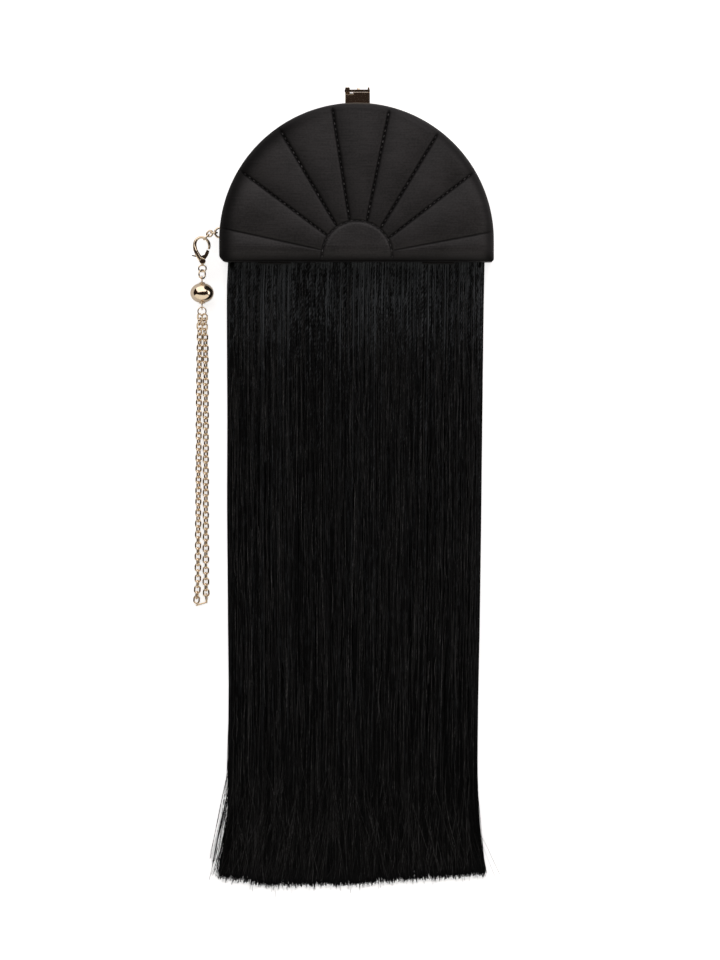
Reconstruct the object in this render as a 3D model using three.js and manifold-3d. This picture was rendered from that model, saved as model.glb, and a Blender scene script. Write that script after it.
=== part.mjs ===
// Fringed half-moon clutch, lying on its back, in millimetres.
// The origin is the centre of the head's arc on the flat back. +X is to the right, +Y runs from
// the fringe to the catch, and +Z is towards the quilted front.

import * as THREE from 'three';
import { mergeVertices } from 'three/addons/utils/BufferGeometryUtils.js';
import Module from 'manifold-3d';

const wasm = await Module();
wasm.setup();

// Gap between pieces that touch
const GAP = 0.3;

// Half-moon head
const HEAD_RADIUS = 100;
const HEAD_DROP = 15.75;
const LEFT_CORNER = 5;
const RIGHT_CORNER = 1.6;
const WALL = 2;
const SEAM_Z = 20;
const FRONT_Z = 34;
const EDGE_ROUND = 2.4;
const ARC_STEPS = 36;
const CORNER_STEPS = 3;
const ROUND_STEPS = 4;

// Quilted front panel
const PANEL_INSET = 2;
const PANEL_FOOT_INSET = 1;
const PANEL_EDGE = 1.0;
const PANEL_CROWN = 4.6;
const PANEL_VALLEY = 0.9;
const SUN_X = 0.4;
const SUN_RISE = 3.6;
const SUN_RADIUS = 25.6;
const SUN_CROWN = 3.4;
const WEDGE_STEPS = 6;
const WEDGE_ROWS = [0, 0.06, 0.2, 0.45, 0.7, 0.88, 0.97, 1];
const SUN_ROWS = [0.25, 0.5, 0.75, 0.93, 1];

// Sewn lines of the panel, right to left: angle of the outer and the inner end, in degrees,
// seen from the middle of the half disc
const SEWN_LINES = [
  { outer: 10, inner: 8 },
  { outer: 35.5, inner: 29 },
  { outer: 56.5, inner: 49 },
  { outer: 77.5, inner: 74 },
  { outer: 99.5, inner: 102 },
  { outer: 121.5, inner: 124.5 },
  { outer: 144, inner: 146 },
  { outer: 168.5, inner: 171 },
];

// Fringe
const FRINGE_TOP = -16.05;
const HEADING_END = -22;
const TEETH = 28;
const TOOTH_GAP = 0.5;
const END_UNEVEN = 1.2;

// Sections down the fringe: place along Y, left and right edge, underside and top
const FRINGE_SECTIONS = [
  { y: FRINGE_TOP, left: -94, right: 92.8, low: 4.6, high: 17.4 },
  { y: HEADING_END, left: -94, right: 92.7, low: 3.6, high: 16.8 },
  { y: -38, left: -94, right: 92.5, low: 0, high: 14.6 },
  { y: -120, left: -94, right: 92, low: 0, high: 12.6 },
  { y: -260, left: -94, right: 90.5, low: 0, high: 11 },
  { y: -381, left: -94.6, right: 88.4, low: 0, high: 9.6 },
  { y: -430, left: -98.4, right: 90, low: 0, high: 8 },
  { y: -452, left: -101.6, right: 92, low: 0, high: 6 },
];
const FRINGE_TIP = { left: -103.5, right: 94.5, low: 0, high: 2.6 };

// Cut end of the fringe: share of the width from the left, and place along Y
const CUT_END = [
  { share: 0, y: -465 },
  { share: 0.18, y: -472.5 },
  { share: 0.48, y: -472 },
  { share: 0.73, y: -467.5 },
  { share: 1, y: -464 },
];

// Hinges along the bottom
const HINGE_Y = -16;
const HINGE_X = 60;
const HINGE_LENGTH = 24;
const KNUCKLE_RADIUS = 1.5;
const HINGE_PIN_RADIUS = 0.6;
const LEAF_THICK = 0.8;
const LEAF_DEPTH = 10;
const NOTCH_RADIUS = KNUCKLE_RADIUS + GAP;

// Catch on top of the head
const CATCH_LEFT = -8;
const CATCH_RIGHT = 9.8;
const CATCH_BACK = 13.5;
const CATCH_FRONT = 26;
const CATCH_TOP = 108.3;
const CATCH_SLOT_RIGHT = -2.5;
const CATCH_SLOT_FLOOR = 106.6;
const LUG_TOP = 112.4;
const LUG_DEPTH = 2.7;
const LEFT_LUG = { left: -8.3, right: -4.9 };
const RIGHT_LUG = { left: 8.2, right: 9.5 };
const BAR_PIN_Y = 109.7;
const BAR_PIN_Z = CATCH_BACK + LUG_DEPTH / 2;
const BAR_PIN_RADIUS = 0.5;
const BAR_BARREL_RADIUS = 1.15;
const BAR_LOW = 108.9;
const BAR_HIGH = 110.3;
const BAR_WIDE_FROM = 18.8;
const BAR_LEFT = -8.7;
const BAR_NUB_X = 1.4;
const BAR_NUB_TOP = 111.5;
const BAR_NUB_RADIUS = 1;

// Height of the wrist chain's fittings over the surface
const CHAIN_Z = 8.75;

// Loop in the left wall
const EYE_Y = 6;
const EYE_WIRE = 1.1;
const EYE_RADIUS = 3.7;
const EYE_REACH = 103.9;
const EYE_SEAT = 98.6;
const EYE_SIDES = 8;
const EYE_STEPS = 12;

// Cable-chain link
const LINK_LENGTH = 6.05;
const HOOK_LINK_LENGTH = 6.6;
const LINK_WIDTH = 5.05;
const LINK_WIRE = 1;
const LINK_STEP = 1.3;
const EYE_STEP = 1.36;
const LINK_SLANT = Math.PI / 4;

// Snap hook, drawn from the middle of its lower end, +Y up the hook
const HOOK_X = -112.6;
const HOOK_Y = -15.3;
const HOOK_THICK = 3.2;
const HOOK_TIP_THICK = 2.2;
const HOOK_TAPER_FROM = 8;
const HOOK_TAPER_TO = 13;
const HOOK_BOSS = { x: -0.4, y: 0.4, radius: 2.3 };
const HOOK_SLOT = 1.6;
const HOOK_SLOT_RADIUS = 8;
const HOOK_SLOT_FLOOR = 0.7;
const PIVOT = { x: -0.9, y: 2.6 };
const RIVET_RADIUS = 0.6;
const GATE_THICK = 1;
const GATE_ARM_THICK = 2;
const SWIVEL_X = -0.5;
const SWIVEL_Y = -4.95;
const SWIVEL_WIDTH = 6.6;
const SWIVEL_HEIGHT = 5.8;
const SWIVEL_STEM_RADIUS = 0.6;

// Middle line of the hook's arm and its half width
const HOOK_ARM = [
  { x: -0.2, y: 0, half: 1.9 },
  { x: -2.8, y: 3.3, half: 2.1 },
  { x: -5, y: 7.3, half: 1.8 },
  { x: -6.2, y: 11.7, half: 1.4 },
  { x: -5.2, y: 15.75, half: 1.2 },
  { x: -2, y: 17.9, half: 1 },
  { x: 1.5, y: 17.1, half: 0.95 },
  { x: 3.9, y: 14.5, half: 1 },
  { x: 4.6, y: 11.6, half: 0.95 },
  { x: 4.2, y: 9.2, half: 0.8 },
];

// Rings and bead below the hook
const SMALL_WIRE = 0.9;
const JUMP_RING_X = -113.3;
const JUMP_RING_Y = -24.5;
const JUMP_RING_RADIUS = 3.15;
const JUMP_RING_TURN = Math.PI / 4;
const BEAD_X = -113.4;
const BEAD_Y = -38.2;
const BEAD_RADIUS = 8.65;
const BEAD_HALF_HEIGHT = 7.35;
const BEAD_HOLE_RADIUS = 0.8;
const BEAD_PIN_RADIUS = 0.5;
const BEAD_LOOP_RADIUS = 1.7;
const BEAD_LOOP_REACH = 10.7;
const CAP_RADIUS = 2.3;
const CAP_HEIGHT = 0.6;
const CHAIN_RING_RADIUS = 2.95;
const CHAIN_RING_Y = -51.65;

// Chain strands
const STRAND_WIDTH = 3.1;
const STRAND_HEIGHT = 5;
const STRAND_SIDES = 8;
const STRAND_STEPS = 40;
const LEFT_STRAND = [
  { x: -114.9, y: -55.5, z: 8.3 },
  { x: -115.2, y: -61.5, z: 5.2 },
  { x: -115.1, y: -68.5, z: 2.75 },
  { x: -115.3, y: -76, z: 2.6 },
  { x: -115.8, y: -114, z: 2.6 },
  { x: -116.2, y: -190, z: 2.6 },
  { x: -116.6, y: -250, z: 2.6 },
  { x: -117.5, y: -264, z: 2.6 },
];
const RIGHT_STRAND = [
  { x: -111.4, y: -55.5, z: 8.3 },
  { x: -111.5, y: -61.5, z: 5.2 },
  { x: -111.2, y: -68.5, z: 2.75 },
  { x: -111, y: -76, z: 2.6 },
  { x: -110.7, y: -114, z: 2.6 },
  { x: -110.7, y: -190, z: 2.6 },
  { x: -110.7, y: -250, z: 2.6 },
  { x: -110.3, y: -262.4, z: 2.6 },
];
const END_LINK = { x: -113.8, y: -266.4, z: 2.6, turn: 0.3, length: 9.4 };

const SATIN = new THREE.MeshStandardMaterial({ color: 0x2b2828, roughness: 0.55, metalness: 0 });
const FRINGE_YARN = new THREE.MeshStandardMaterial({ color: 0x121212, roughness: 0.6, metalness: 0 });
const GOLD = new THREE.MeshStandardMaterial({ color: 0xe2c38c, roughness: 0.14, metalness: 1 });
const DARK_METAL = new THREE.MeshStandardMaterial({ color: 0x2a2522, roughness: 0.4, metalness: 1 });

// Solids and meshes

// Closed geometry turned into a solid that can be joined and cut
function solidOf(geometry) {
  const plain = geometry.index ? geometry.toNonIndexed() : geometry.clone();
  plain.deleteAttribute('normal');
  plain.deleteAttribute('uv');
  const merged = mergeVertices(plain, 1e-4);
  return new wasm.Manifold(new wasm.Mesh({
    numProp: 3,
    vertProperties: new Float32Array(merged.attributes.position.array),
    triVerts: new Uint32Array(merged.index.array),
  }));
}

function geometryOf(solid) {
  const mesh = solid.getMesh();
  const geometry = new THREE.BufferGeometry();
  const positions = new Float32Array((mesh.vertProperties.length / mesh.numProp) * 3);
  for (let vertex = 0; vertex < positions.length / 3; vertex += 1) {
    for (let axis = 0; axis < 3; axis += 1) {
      positions[vertex * 3 + axis] = mesh.vertProperties[vertex * mesh.numProp + axis];
    }
  }
  geometry.setAttribute('position', new THREE.BufferAttribute(positions, 3));
  geometry.setIndex(new THREE.BufferAttribute(new Uint32Array(mesh.triVerts), 1));
  geometry.computeVertexNormals();
  return geometry;
}

// Union of several solids
function joined(solids) {
  return solids.reduce((whole, solid) => whole.add(solid));
}

// Box between two corners
function box(low, high) {
  const size = high.clone().sub(low);
  const middle = low.clone().add(high).multiplyScalar(0.5);
  const geometry = new THREE.BoxGeometry(size.x, size.y, size.z);
  geometry.translate(middle.x, middle.y, middle.z);
  return solidOf(geometry);
}

// Round bar from one point to another
function bar(from, to, radius, sides = 16) {
  const along = to.clone().sub(from);
  const geometry = new THREE.CylinderGeometry(radius, radius, along.length(), sides);
  const turn = new THREE.Quaternion().setFromUnitVectors(
    new THREE.Vector3(0, 1, 0),
    along.clone().normalize(),
  );
  geometry.applyQuaternion(turn);
  const middle = from.clone().add(to).multiplyScalar(0.5);
  geometry.translate(middle.x, middle.y, middle.z);
  return solidOf(geometry);
}

// Closed body through rings of points that all run the same way and have the same count
function loft(rings) {
  const count = rings[0].length;
  const positions = rings.flat().flatMap((point) => [point.x, point.y, point.z]);
  const faces = [];
  for (let ring = 0; ring + 1 < rings.length; ring += 1) {
    for (let corner = 0; corner < count; corner += 1) {
      const next = (corner + 1) % count;
      const a = ring * count + corner;
      const b = ring * count + next;
      faces.push(a, b, b + count, a, b + count, a + count);
    }
  }
  const last = (rings.length - 1) * count;
  for (let corner = 1; corner + 1 < count; corner += 1) {
    faces.push(0, corner + 1, corner);
    faces.push(last, last + corner, last + corner + 1);
  }
  const geometry = new THREE.BufferGeometry();
  geometry.setAttribute('position', new THREE.Float32BufferAttribute(positions, 3));
  geometry.setIndex(faces);
  return solidOf(geometry);
}

// Flat outline raised along Z, from -thick/2 to thick/2
function plate(points, thick) {
  const shape = new THREE.Shape(points.map((point) => new THREE.Vector2(point.x, point.y)));
  const geometry = new THREE.ExtrudeGeometry(shape, { depth: thick, bevelEnabled: false });
  geometry.translate(0, 0, -thick / 2);
  return solidOf(geometry);
}

function piece(name, solid, material) {
  const mesh = new THREE.Mesh(geometryOf(solid), material);
  mesh.name = name;
  return mesh;
}

// Head

// Half-moon outline drawn in by an inset, at one height
function halfMoon(inset, z) {
  const radius = HEAD_RADIUS - inset;
  const bottom = -HEAD_DROP + inset;
  const left = Math.max(LEFT_CORNER - inset, 0.4);
  const right = Math.max(RIGHT_CORNER - inset, 0.4);
  const points = [];
  for (let step = 0; step <= ARC_STEPS; step += 1) {
    const angle = (Math.PI * step) / ARC_STEPS;
    points.push(new THREE.Vector3(radius * Math.cos(angle), radius * Math.sin(angle), z));
  }
  const corners = [
    { x: -radius + left, size: left, from: Math.PI },
    { x: radius - right, size: right, from: 1.5 * Math.PI },
  ];
  for (const corner of corners) {
    for (let step = 0; step <= CORNER_STEPS; step += 1) {
      const angle = corner.from + (0.5 * Math.PI * step) / CORNER_STEPS;
      const x = corner.x + corner.size * Math.cos(angle);
      points.push(new THREE.Vector3(x, bottom + corner.size + corner.size * Math.sin(angle), z));
    }
  }
  return points;
}

// Full half of the box: its outer edge at faceZ is rounded, and it runs straight to rimZ
function halfBlock(faceZ, rimZ) {
  const side = Math.sign(rimZ - faceZ);
  const rings = [];
  for (let step = 0; step <= ROUND_STEPS; step += 1) {
    const angle = (0.5 * Math.PI * step) / ROUND_STEPS;
    const inset = EDGE_ROUND * (1 - Math.sin(angle));
    rings.push(halfMoon(inset, faceZ + side * EDGE_ROUND * (1 - Math.cos(angle))));
  }
  rings.push(halfMoon(0, rimZ));
  return loft(side > 0 ? rings : rings.reverse());
}

function cavity(lowZ, highZ) {
  return loft([halfMoon(WALL, lowZ), halfMoon(WALL, highZ)]);
}

// Clearance round one hinge, through the bottom walls
function hingeNotch(x) {
  const half = HINGE_LENGTH / 2 + GAP;
  return box(
    new THREE.Vector3(x - half, HINGE_Y - 4, SEAM_Z - NOTCH_RADIUS),
    new THREE.Vector3(x + half, -HEAD_DROP + WALL + GAP, SEAM_Z + NOTCH_RADIUS),
  );
}

function eyeLegHoles() {
  const holes = [-1, 1].map((side) => bar(
    new THREE.Vector3(-EYE_SEAT + GAP, EYE_Y + side * EYE_RADIUS, CHAIN_Z),
    new THREE.Vector3(-HEAD_RADIUS - 2, EYE_Y + side * EYE_RADIUS, CHAIN_Z),
    EYE_WIRE / 2 + GAP,
  ));
  return joined(holes);
}

function backShell() {
  return halfBlock(0, SEAM_Z - GAP / 2)
    .subtract(cavity(WALL, SEAM_Z + 1))
    .subtract(hingeNotch(-HINGE_X))
    .subtract(hingeNotch(HINGE_X))
    .subtract(eyeLegHoles());
}

function frontShell() {
  return halfBlock(FRONT_Z, SEAM_Z + GAP / 2)
    .subtract(cavity(SEAM_Z - 1, FRONT_Z - WALL))
    .subtract(hingeNotch(-HINGE_X))
    .subtract(hingeNotch(HINGE_X));
}

// Quilted panel

const PANEL_RADIUS = HEAD_RADIUS - PANEL_INSET;
const PANEL_BOTTOM = -HEAD_DROP + PANEL_FOOT_INSET;
const PANEL_BASE = FRONT_Z + GAP;

// Where a ray from the foot of the half disc meets the half disc's edge
function sunReach(angle) {
  const across = SUN_RISE * Math.cos(angle);
  return SUN_RISE * Math.sin(angle) + Math.sqrt(SUN_RADIUS ** 2 - across ** 2);
}

// Where a ray from the foot of the half disc meets the panel's outline
function outlineReach(angle) {
  const along = new THREE.Vector2(Math.cos(angle), Math.sin(angle));
  const foot = new THREE.Vector2(SUN_X, PANEL_BOTTOM);
  const middle = foot.dot(along);
  const arc = -middle + Math.sqrt(middle ** 2 - foot.lengthSq() + PANEL_RADIUS ** 2);
  if (foot.y + arc * along.y > 0) {
    return arc;
  }
  return (PANEL_RADIUS - Math.sign(along.x) * SUN_X) / Math.abs(along.x);
}

function rayPoint(reach, angle) {
  return new THREE.Vector2(SUN_X + reach * Math.cos(angle), PANEL_BOTTOM + reach * Math.sin(angle));
}

// Angle from the foot of the half disc to the sewn line's end at a given distance from its middle
function footAngle(degrees, distance) {
  const angle = THREE.MathUtils.degToRad(degrees);
  return Math.atan2(SUN_RISE + distance * Math.sin(angle), distance * Math.cos(angle));
}

// Columns of the panel from right to left: inner and outer angle, and how full the wedge is
function panelColumns() {
  const lines = [
    { outer: 0, inner: 0 },
    ...SEWN_LINES.map((line) => ({
      outer: footAngle(line.outer, PANEL_RADIUS),
      inner: footAngle(line.inner, SUN_RADIUS),
    })),
    { outer: Math.PI, inner: Math.PI },
  ];
  const columns = [];
  for (let wedge = 0; wedge + 1 < lines.length; wedge += 1) {
    for (let step = wedge === 0 ? 0 : 1; step <= WEDGE_STEPS; step += 1) {
      const share = step / WEDGE_STEPS;
      columns.push({
        outer: THREE.MathUtils.lerp(lines[wedge].outer, lines[wedge + 1].outer, share),
        inner: THREE.MathUtils.lerp(lines[wedge].inner, lines[wedge + 1].inner, share),
        full: Math.sqrt(Math.max(0, 1 - (2 * share - 1) ** 2)),
      });
    }
  }
  return columns;
}

function wedgeHeight(full, row) {
  const ends = Math.sqrt(Math.max(0, 1 - (2 * row - 1) ** 4));
  return PANEL_EDGE + PANEL_VALLEY * ends + (PANEL_CROWN - PANEL_VALLEY) * full * ends;
}

// Crowned wedges round a crowned half disc, flat underneath
function quiltedPanel() {
  const columns = panelColumns();
  const rows = [];
  for (const share of SUN_ROWS) {
    rows.push(columns.map((column) => {
      const place = rayPoint(share * sunReach(column.inner), column.inner);
      const height = PANEL_EDGE + SUN_CROWN * Math.sqrt(1 - share ** 3);
      return new THREE.Vector3(place.x, place.y, PANEL_BASE + height);
    }));
  }
  for (const row of WEDGE_ROWS.slice(1)) {
    rows.push(columns.map((column) => {
      const inner = rayPoint(sunReach(column.inner), column.inner);
      const outer = rayPoint(outlineReach(column.outer), column.outer);
      const place = inner.lerp(outer, row);
      return new THREE.Vector3(place.x, place.y, PANEL_BASE + wedgeHeight(column.full, row));
    }));
  }
  return fanSolid(rows, new THREE.Vector3(SUN_X, PANEL_BOTTOM, PANEL_BASE + PANEL_EDGE + SUN_CROWN));
}

// Closed body over a fan of rows round a foot point, with a flat base
function fanSolid(rows, foot) {
  const count = rows[0].length;
  const top = [foot, ...rows.flat()];
  const floor = top.map((point) => new THREE.Vector3(point.x, point.y, PANEL_BASE));
  const positions = [...top, ...floor].flatMap((point) => [point.x, point.y, point.z]);
  const at = (row, column) => 1 + row * count + column;
  const faces = [];
  const addBoth = (a, b, c) => {
    faces.push(a, b, c);
    faces.push(a + top.length, c + top.length, b + top.length);
  };
  for (let column = 0; column + 1 < count; column += 1) {
    addBoth(0, at(0, column), at(0, column + 1));
    for (let row = 0; row + 1 < rows.length; row += 1) {
      addBoth(at(row, column), at(row + 1, column), at(row + 1, column + 1));
      addBoth(at(row, column), at(row + 1, column + 1), at(row, column + 1));
    }
  }
  const rim = [0];
  for (let row = 0; row < rows.length; row += 1) {
    rim.push(at(row, 0));
  }
  for (let column = 1; column < count; column += 1) {
    rim.push(at(rows.length - 1, column));
  }
  for (let row = rows.length - 2; row >= 0; row -= 1) {
    rim.push(at(row, count - 1));
  }
  rim.forEach((from, index) => {
    const to = rim[(index + 1) % rim.length];
    faces.push(from + top.length, to + top.length, to, from + top.length, to, from);
  });
  const geometry = new THREE.BufferGeometry();
  geometry.setAttribute('position', new THREE.Float32BufferAttribute(positions, 3));
  geometry.setIndex(faces);
  return solidOf(geometry);
}

// Fringe

function cutEnd(share) {
  const index = CUT_END.findIndex((point, place) => place > 0 && share <= point.share);
  const from = CUT_END[index - 1];
  const to = CUT_END[index];
  return THREE.MathUtils.mapLinear(share, from.share, to.share, from.y, to.y);
}

// One section of the fringe between two shares of its width
function fringeRing(section, fromShare, toShare, y, side) {
  const left = THREE.MathUtils.lerp(section.left, section.right, fromShare) + side;
  const right = THREE.MathUtils.lerp(section.left, section.right, toShare) - side;
  return [
    new THREE.Vector3(left, y, section.low),
    new THREE.Vector3(left, y, section.high),
    new THREE.Vector3(right, y, section.high),
    new THREE.Vector3(right, y, section.low),
  ];
}

// Comb: a heading across the whole width, and a row of flat teeth below it
function fringeComb() {
  const [top, headingEnd, ...rest] = FRINGE_SECTIONS;
  const heading = loft([
    fringeRing(top, 0, 1, top.y, 0),
    fringeRing(headingEnd, 0, 1, headingEnd.y, 0),
  ].reverse());
  const teeth = [];
  for (let tooth = 0; tooth < TEETH; tooth += 1) {
    const from = tooth / TEETH;
    const to = (tooth + 1) / TEETH;
    const start = fringeRing(headingEnd, from, to, headingEnd.y, TOOTH_GAP / 2);
    const lead = fringeRing(top, from, to, headingEnd.y + 1, TOOTH_GAP / 2);
    lead.forEach((point, corner) => {
      point.z = start[corner].z + (corner === 1 || corner === 2 ? 0 : 0.2);
    });
    const end = cutEnd((from + to) / 2) + END_UNEVEN * Math.sin(2.4 * tooth);
    const rings = [
      lead,
      start,
      ...rest.map((section) => fringeRing(section, from, to, section.y, TOOTH_GAP / 2)),
      fringeRing(FRINGE_TIP, from, to, end, TOOTH_GAP / 2),
    ];
    teeth.push(loft(rings.reverse()));
  }
  return joined([heading, ...teeth]);
}

// Hinges

// Leaf inside the bottom wall, with a web out to its knuckles
function hingeLeaf(x, side, knuckles) {
  const wallInside = -HEAD_DROP + WALL + GAP;
  const nearZ = SEAM_Z + (side * GAP) / 2;
  const farZ = SEAM_Z + side * LEAF_DEPTH;
  const webZ = SEAM_Z + side * (KNUCKLE_RADIUS - 0.3);
  const slab = (left, right, y0, y1, z0, z1) => box(
    new THREE.Vector3(left, y0, Math.min(z0, z1)),
    new THREE.Vector3(right, y1, Math.max(z0, z1)),
  );
  const half = HINGE_LENGTH / 2;
  const solids = [slab(x - half, x + half, wallInside, wallInside + LEAF_THICK, nearZ, farZ)];
  for (const knuckle of knuckles) {
    const left = x + knuckle.left;
    const right = x + knuckle.right;
    solids.push(slab(left, right, HINGE_Y, wallInside + LEAF_THICK, nearZ, webZ));
    solids.push(bar(
      new THREE.Vector3(left, HINGE_Y, SEAM_Z),
      new THREE.Vector3(right, HINGE_Y, SEAM_Z),
      KNUCKLE_RADIUS,
    ));
  }
  const bore = bar(
    new THREE.Vector3(x - HINGE_LENGTH, HINGE_Y, SEAM_Z),
    new THREE.Vector3(x + HINGE_LENGTH, HINGE_Y, SEAM_Z),
    HINGE_PIN_RADIUS + GAP,
  );
  return joined(solids).subtract(bore);
}

function hingeParts(name, x) {
  const half = HINGE_LENGTH / 2;
  const third = HINGE_LENGTH / 6;
  const outer = [
    { left: -half, right: -third - GAP },
    { left: third + GAP, right: half },
  ];
  const inner = [{ left: -third, right: third }];
  const pin = bar(
    new THREE.Vector3(x - half, HINGE_Y, SEAM_Z),
    new THREE.Vector3(x + half, HINGE_Y, SEAM_Z),
    HINGE_PIN_RADIUS,
    12,
  );
  return [
    piece(`hinge_back_${name}`, hingeLeaf(x, -1, outer), DARK_METAL),
    piece(`hinge_front_${name}`, hingeLeaf(x, 1, inner), DARK_METAL),
    piece(`hinge_pin_${name}`, pin, DARK_METAL),
  ];
}

// Catch

// Rim of the head, with the seat's gap, to cut the underside of the catch
function rimCutter() {
  return bar(
    new THREE.Vector3(0, 0, -1),
    new THREE.Vector3(0, 0, FRONT_Z + 1),
    HEAD_RADIUS + GAP,
    144,
  );
}

function catchBase() {
  const rimSide = 95;
  const lugs = [LEFT_LUG, RIGHT_LUG].map((lug) => box(
    new THREE.Vector3(lug.left, rimSide, CATCH_BACK),
    new THREE.Vector3(lug.right, LUG_TOP, CATCH_BACK + LUG_DEPTH),
  ));
  const block = box(
    new THREE.Vector3(CATCH_LEFT, rimSide, CATCH_BACK),
    new THREE.Vector3(CATCH_RIGHT, CATCH_TOP - 0.4, SEAM_Z - GAP / 2),
  );
  const hole = bar(
    new THREE.Vector3(BAR_LEFT - 2, BAR_PIN_Y, BAR_PIN_Z),
    new THREE.Vector3(CATCH_RIGHT + 2, BAR_PIN_Y, BAR_PIN_Z),
    BAR_PIN_RADIUS + GAP,
  );
  return joined([block, ...lugs]).subtract(rimCutter()).subtract(hole);
}

// Front block, with the slot that shows at its left
function catchBlock() {
  const block = box(
    new THREE.Vector3(CATCH_LEFT, 95, SEAM_Z + GAP / 2),
    new THREE.Vector3(CATCH_RIGHT, CATCH_TOP, CATCH_FRONT),
  );
  const slot = box(
    new THREE.Vector3(CATCH_LEFT - 1, CATCH_SLOT_FLOOR, SEAM_Z),
    new THREE.Vector3(CATCH_SLOT_RIGHT, CATCH_TOP + 1, CATCH_FRONT + 1),
  );
  return block.subtract(slot).subtract(rimCutter());
}

// Flip bar: narrow and rolled round its pin at the back, wide over the front block
function catchBar() {
  const narrowLeft = LEFT_LUG.right + GAP;
  const narrowRight = RIGHT_LUG.left - GAP;
  const narrow = box(
    new THREE.Vector3(narrowLeft, BAR_LOW, BAR_PIN_Z),
    new THREE.Vector3(narrowRight, BAR_HIGH, CATCH_FRONT),
  );
  const wide = box(
    new THREE.Vector3(BAR_LEFT, BAR_LOW, BAR_WIDE_FROM),
    new THREE.Vector3(CATCH_RIGHT, BAR_HIGH, CATCH_FRONT),
  );
  const barrel = bar(
    new THREE.Vector3(narrowLeft, BAR_PIN_Y, BAR_PIN_Z),
    new THREE.Vector3(narrowRight, BAR_PIN_Y, BAR_PIN_Z),
    BAR_BARREL_RADIUS,
  );
  const nub = bar(
    new THREE.Vector3(BAR_NUB_X, BAR_LOW + 0.5, CATCH_FRONT - 2),
    new THREE.Vector3(BAR_NUB_X, BAR_NUB_TOP, CATCH_FRONT - 2),
    BAR_NUB_RADIUS,
  );
  const hole = bar(
    new THREE.Vector3(narrowLeft - 1, BAR_PIN_Y, BAR_PIN_Z),
    new THREE.Vector3(narrowRight + 1, BAR_PIN_Y, BAR_PIN_Z),
    BAR_PIN_RADIUS + GAP,
  );
  return joined([narrow, wide, barrel, nub]).subtract(hole);
}

function catchPin() {
  return bar(
    new THREE.Vector3(LEFT_LUG.left, BAR_PIN_Y, BAR_PIN_Z),
    new THREE.Vector3(RIGHT_LUG.right, BAR_PIN_Y, BAR_PIN_Z),
    BAR_PIN_RADIUS,
    12,
  );
}

// Rings and links

// Oval ring in the XY plane, longest along X, measured over its outside
function ovalRing(length, width, wire, sides = 8, steps = 18) {
  const geometry = new THREE.TorusGeometry((width - wire) / 2, wire / 2, sides, steps);
  const stretch = (length - width) / 2;
  const position = geometry.attributes.position;
  for (let index = 0; index < position.count; index += 1) {
    const x = position.getX(index);
    position.setX(index, x + Math.sign(x) * stretch);
  }
  return solidOf(geometry);
}

// Loop with two straight legs that go into the wall
function chainEye() {
  const middle = new THREE.Vector3(-EYE_REACH + EYE_RADIUS, EYE_Y, CHAIN_Z);
  const legs = [-1, 1].map((side) => {
    const end = middle.clone().add(new THREE.Vector3(0, side * EYE_RADIUS, 0));
    return bar(end.clone().setX(-EYE_SEAT), end, EYE_WIRE / 2, EYE_SIDES);
  });
  const rings = [];
  for (let step = 0; step <= EYE_STEPS; step += 1) {
    const angle = Math.PI * (1.5 - step / EYE_STEPS);
    const out = new THREE.Vector3(Math.cos(angle), Math.sin(angle), 0);
    const ring = [];
    for (let corner = 0; corner < EYE_SIDES; corner += 1) {
      const turn = (2 * Math.PI * corner) / EYE_SIDES;
      const point = middle.clone().addScaledVector(out, EYE_RADIUS + (EYE_WIRE / 2) * Math.cos(turn));
      ring.push(point.setZ(CHAIN_Z + (EYE_WIRE / 2) * Math.sin(turn)));
    }
    rings.push(ring);
  }
  return joined([loft(rings), ...legs]);
}

function linkMeshes() {
  const pitch = LINK_LENGTH - LINK_WIRE;
  const hookPitch = HOOK_LINK_LENGTH - LINK_WIRE;
  const down = new THREE.Vector3(-Math.cos(LINK_SLANT), -Math.sin(LINK_SLANT), 0);
  const startA = new THREE.Vector3(-EYE_REACH + EYE_STEP, EYE_Y, CHAIN_Z);
  const endA = startA.clone().add(new THREE.Vector3(-pitch, 0, 0));
  const startB = endA.clone().addScaledVector(down, -LINK_STEP);
  const endB = startB.clone().addScaledVector(down, pitch);
  const startC = endB.clone().addScaledVector(down, -LINK_STEP);
  const endC = startC.clone().addScaledVector(down, hookPitch);
  const rows = [
    { name: 'link_a', from: startA, to: endA, length: LINK_LENGTH, turn: 0, onEdge: true },
    { name: 'link_b', from: startB, to: endB, length: LINK_LENGTH, turn: LINK_SLANT, onEdge: false },
    { name: 'link_c', from: startC, to: endC, length: HOOK_LINK_LENGTH, turn: LINK_SLANT, onEdge: true },
  ];
  return rows.map((row) => {
    const mesh = piece(row.name, ovalRing(row.length, LINK_WIDTH, LINK_WIRE), GOLD);
    mesh.rotation.set(row.onEdge ? Math.PI / 2 : 0, 0, row.turn, 'ZYX');
    mesh.position.copy(row.from.clone().add(row.to).multiplyScalar(0.5));
    return mesh;
  });
}

// Snap hook

// Outline round the hook's arm, from its middle line and half widths
function armOutline() {
  const line = new THREE.CatmullRomCurve3(HOOK_ARM.map((row) => new THREE.Vector3(row.x, row.y, 0)));
  const widths = new THREE.CatmullRomCurve3(HOOK_ARM.map((row) => new THREE.Vector3(row.half, 0, 0)));
  const steps = 30;
  const left = [];
  const right = [];
  for (let step = 0; step <= steps; step += 1) {
    const place = line.getPoint(step / steps);
    const along = line.getTangent(step / steps);
    const half = widths.getPoint(step / steps).x;
    left.push(new THREE.Vector2(place.x - along.y * half, place.y + along.x * half));
    right.push(new THREE.Vector2(place.x + along.y * half, place.y - along.x * half));
  }
  return [...right, ...left.reverse()];
}

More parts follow.
